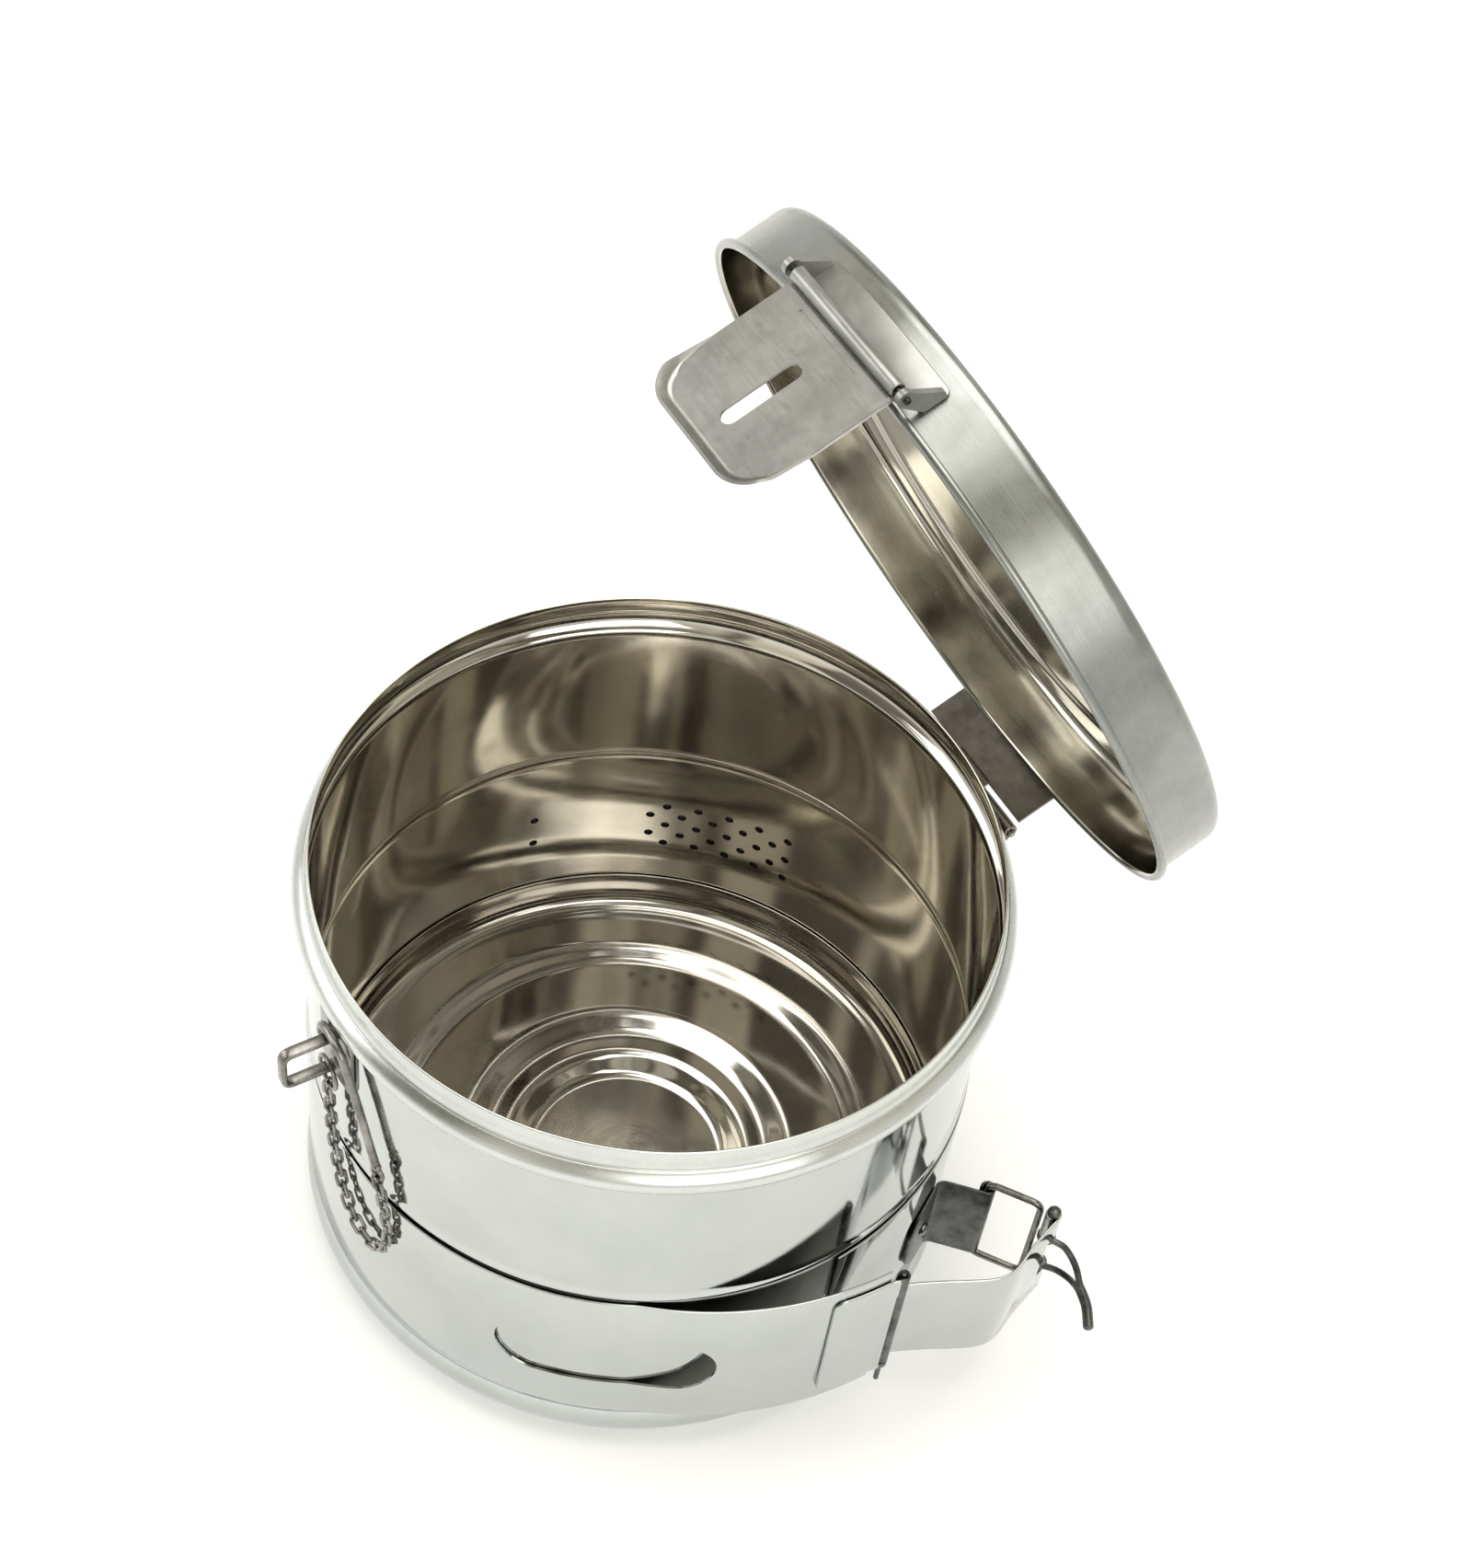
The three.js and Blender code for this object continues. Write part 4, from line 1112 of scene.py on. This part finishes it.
# ---- floor, light and camera ----
def studio_floor():
    material = bpy.data.materials.new("pale_floor")
    material.use_nodes = True
    nodes, links = material.node_tree.nodes, material.node_tree.links
    shader = nodes["Principled BSDF"]
    shader.inputs["Roughness"].default_value = 0.9
    shader.inputs["Emission Color"].default_value = (0.94, 0.97, 1.0, 1)
    shader.inputs["Emission Strength"].default_value = 0.2
    grain = add_node(nodes, "ShaderNodeTexNoise", Scale=3.0)
    shade = colour_ramp(nodes, (0.0, (0.84, 0.84, 0.835)), (1.0, (0.88, 0.88, 0.875)))
    links.new(grain.outputs["Fac"], shade.inputs["Fac"])
    links.new(shade.outputs["Color"], shader.inputs["Base Color"])
    mesh = bpy.data.meshes.new("studio_floor")
    reach = 9.0
    corners = [(-reach, -reach, 0), (reach, -reach, 0), (reach, reach, 0), (-reach, reach, 0)]
    mesh.from_pydata(corners, [], [(0, 1, 2, 3)])
    mesh.materials.append(material)
    floor = bpy.data.objects.new("studio_floor", mesh)
    bpy.context.scene.collection.objects.link(floor)


def softbox(name, place, size, power, colour):
    """An area light that faces the drum."""
    light = bpy.data.lights.new(name, "AREA")
    light.shape = "RECTANGLE"
    light.size, light.size_y = size
    light.energy = power
    light.color = colour
    lamp = bpy.data.objects.new(name, light)
    lamp.location = place
    lamp.rotation_euler = (Vector((0, 0, 0.1)) - Vector(place)).to_track_quat("-Z", "Y").to_euler()
    bpy.context.scene.collection.objects.link(lamp)


def studio_world():
    """A sky that is pale low down and darker overhead, with panels for the steel to mirror."""
    world = bpy.data.worlds.new("studio")
    bpy.context.scene.world = world
    world.use_nodes = True
    nodes, links = world.node_tree.nodes, world.node_tree.links
    coords = nodes.new("ShaderNodeTexCoord")
    parts = nodes.new("ShaderNodeSeparateXYZ")
    links.new(coords.outputs["Generated"], parts.inputs[0])
    sky = colour_ramp(
        nodes, (0.0, (0.92, 0.93, 0.92)), (0.2, (0.88, 0.88, 0.86)), (0.5, (0.62, 0.60, 0.54)),
        (0.8, (0.50, 0.48, 0.43)), (1.0, (0.45, 0.43, 0.39)))
    links.new(parts.outputs["Z"], sky.inputs["Fac"])
    level = nodes.new("ShaderNodeCombineXYZ")
    links.new(parts.outputs["X"], level.inputs["X"])
    links.new(parts.outputs["Y"], level.inputs["Y"])
    heading = add_node(nodes, "ShaderNodeVectorMath", operation="NORMALIZE")
    links.new(level.outputs[0], heading.inputs[0])
    panels = add_node(nodes, "ShaderNodeTexNoise", Scale=2.6, Detail=1.5)
    links.new(heading.outputs[0], panels.inputs["Vector"])
    contrast = colour_ramp(nodes, (0.44, (0.35, 0.34, 0.31)), (0.58, (1.5, 1.46, 1.36)))
    links.new(panels.outputs["Fac"], contrast.inputs["Fac"])
    above = add_node(nodes, "ShaderNodeMapRange", **{"From Min": 0.12, "From Max": 0.4})
    links.new(parts.outputs["Z"], above.inputs["Value"])
    panelled = add_node(nodes, "ShaderNodeMix", data_type="RGBA", blend_type="MULTIPLY")
    links.new(above.outputs[0], panelled.inputs["Factor"])
    links.new(sky.outputs["Color"], panelled.inputs["A"])
    links.new(contrast.outputs["Color"], panelled.inputs["B"])
    links.new(panelled.outputs["Result"], nodes["Background"].inputs["Color"])
    nodes["Background"].inputs["Strength"].default_value = 1.0


def camera():
    yaw, pitch, roll = (math.radians(a) for a in (CAMERA_YAW, CAMERA_PITCH, CAMERA_ROLL))
    ahead = Vector((math.sin(yaw) * math.cos(pitch), math.cos(yaw) * math.cos(pitch), -math.sin(pitch)))
    level = Vector((math.cos(yaw), -math.sin(yaw), 0))
    above = level.cross(ahead)
    right = level * math.cos(roll) + above * math.sin(roll)
    up = above * math.cos(roll) - level * math.sin(roll)
    data = bpy.data.cameras.new("camera")
    data.lens = CAMERA_LENS
    data.sensor_width = 36
    data.clip_start = 0.05
    eye = bpy.data.objects.new("camera", data)
    eye.matrix_world = Matrix((
        (right.x, up.x, -ahead.x, CAMERA_AT[0]), (right.y, up.y, -ahead.y, CAMERA_AT[1]),
        (right.z, up.z, -ahead.z, CAMERA_AT[2]), (0, 0, 0, 1)))
    bpy.context.scene.collection.objects.link(eye)
    bpy.context.scene.camera = eye


studio_floor()
studio_world()
softbox("overhead", (-0.3, 0.4, 3.0), (2.6, 2.6), 75, (1.0, 0.98, 0.95))
softbox("front_left", (-1.9, -1.9, 1.9), (2.0, 1.6), 30, (1.0, 1.0, 1.0))
softbox("front_right", (2.4, -0.4, 1.8), (2.0, 1.6), 26, (1.0, 0.98, 0.95))
camera()
bpy.context.scene.view_settings.view_transform = "Standard"
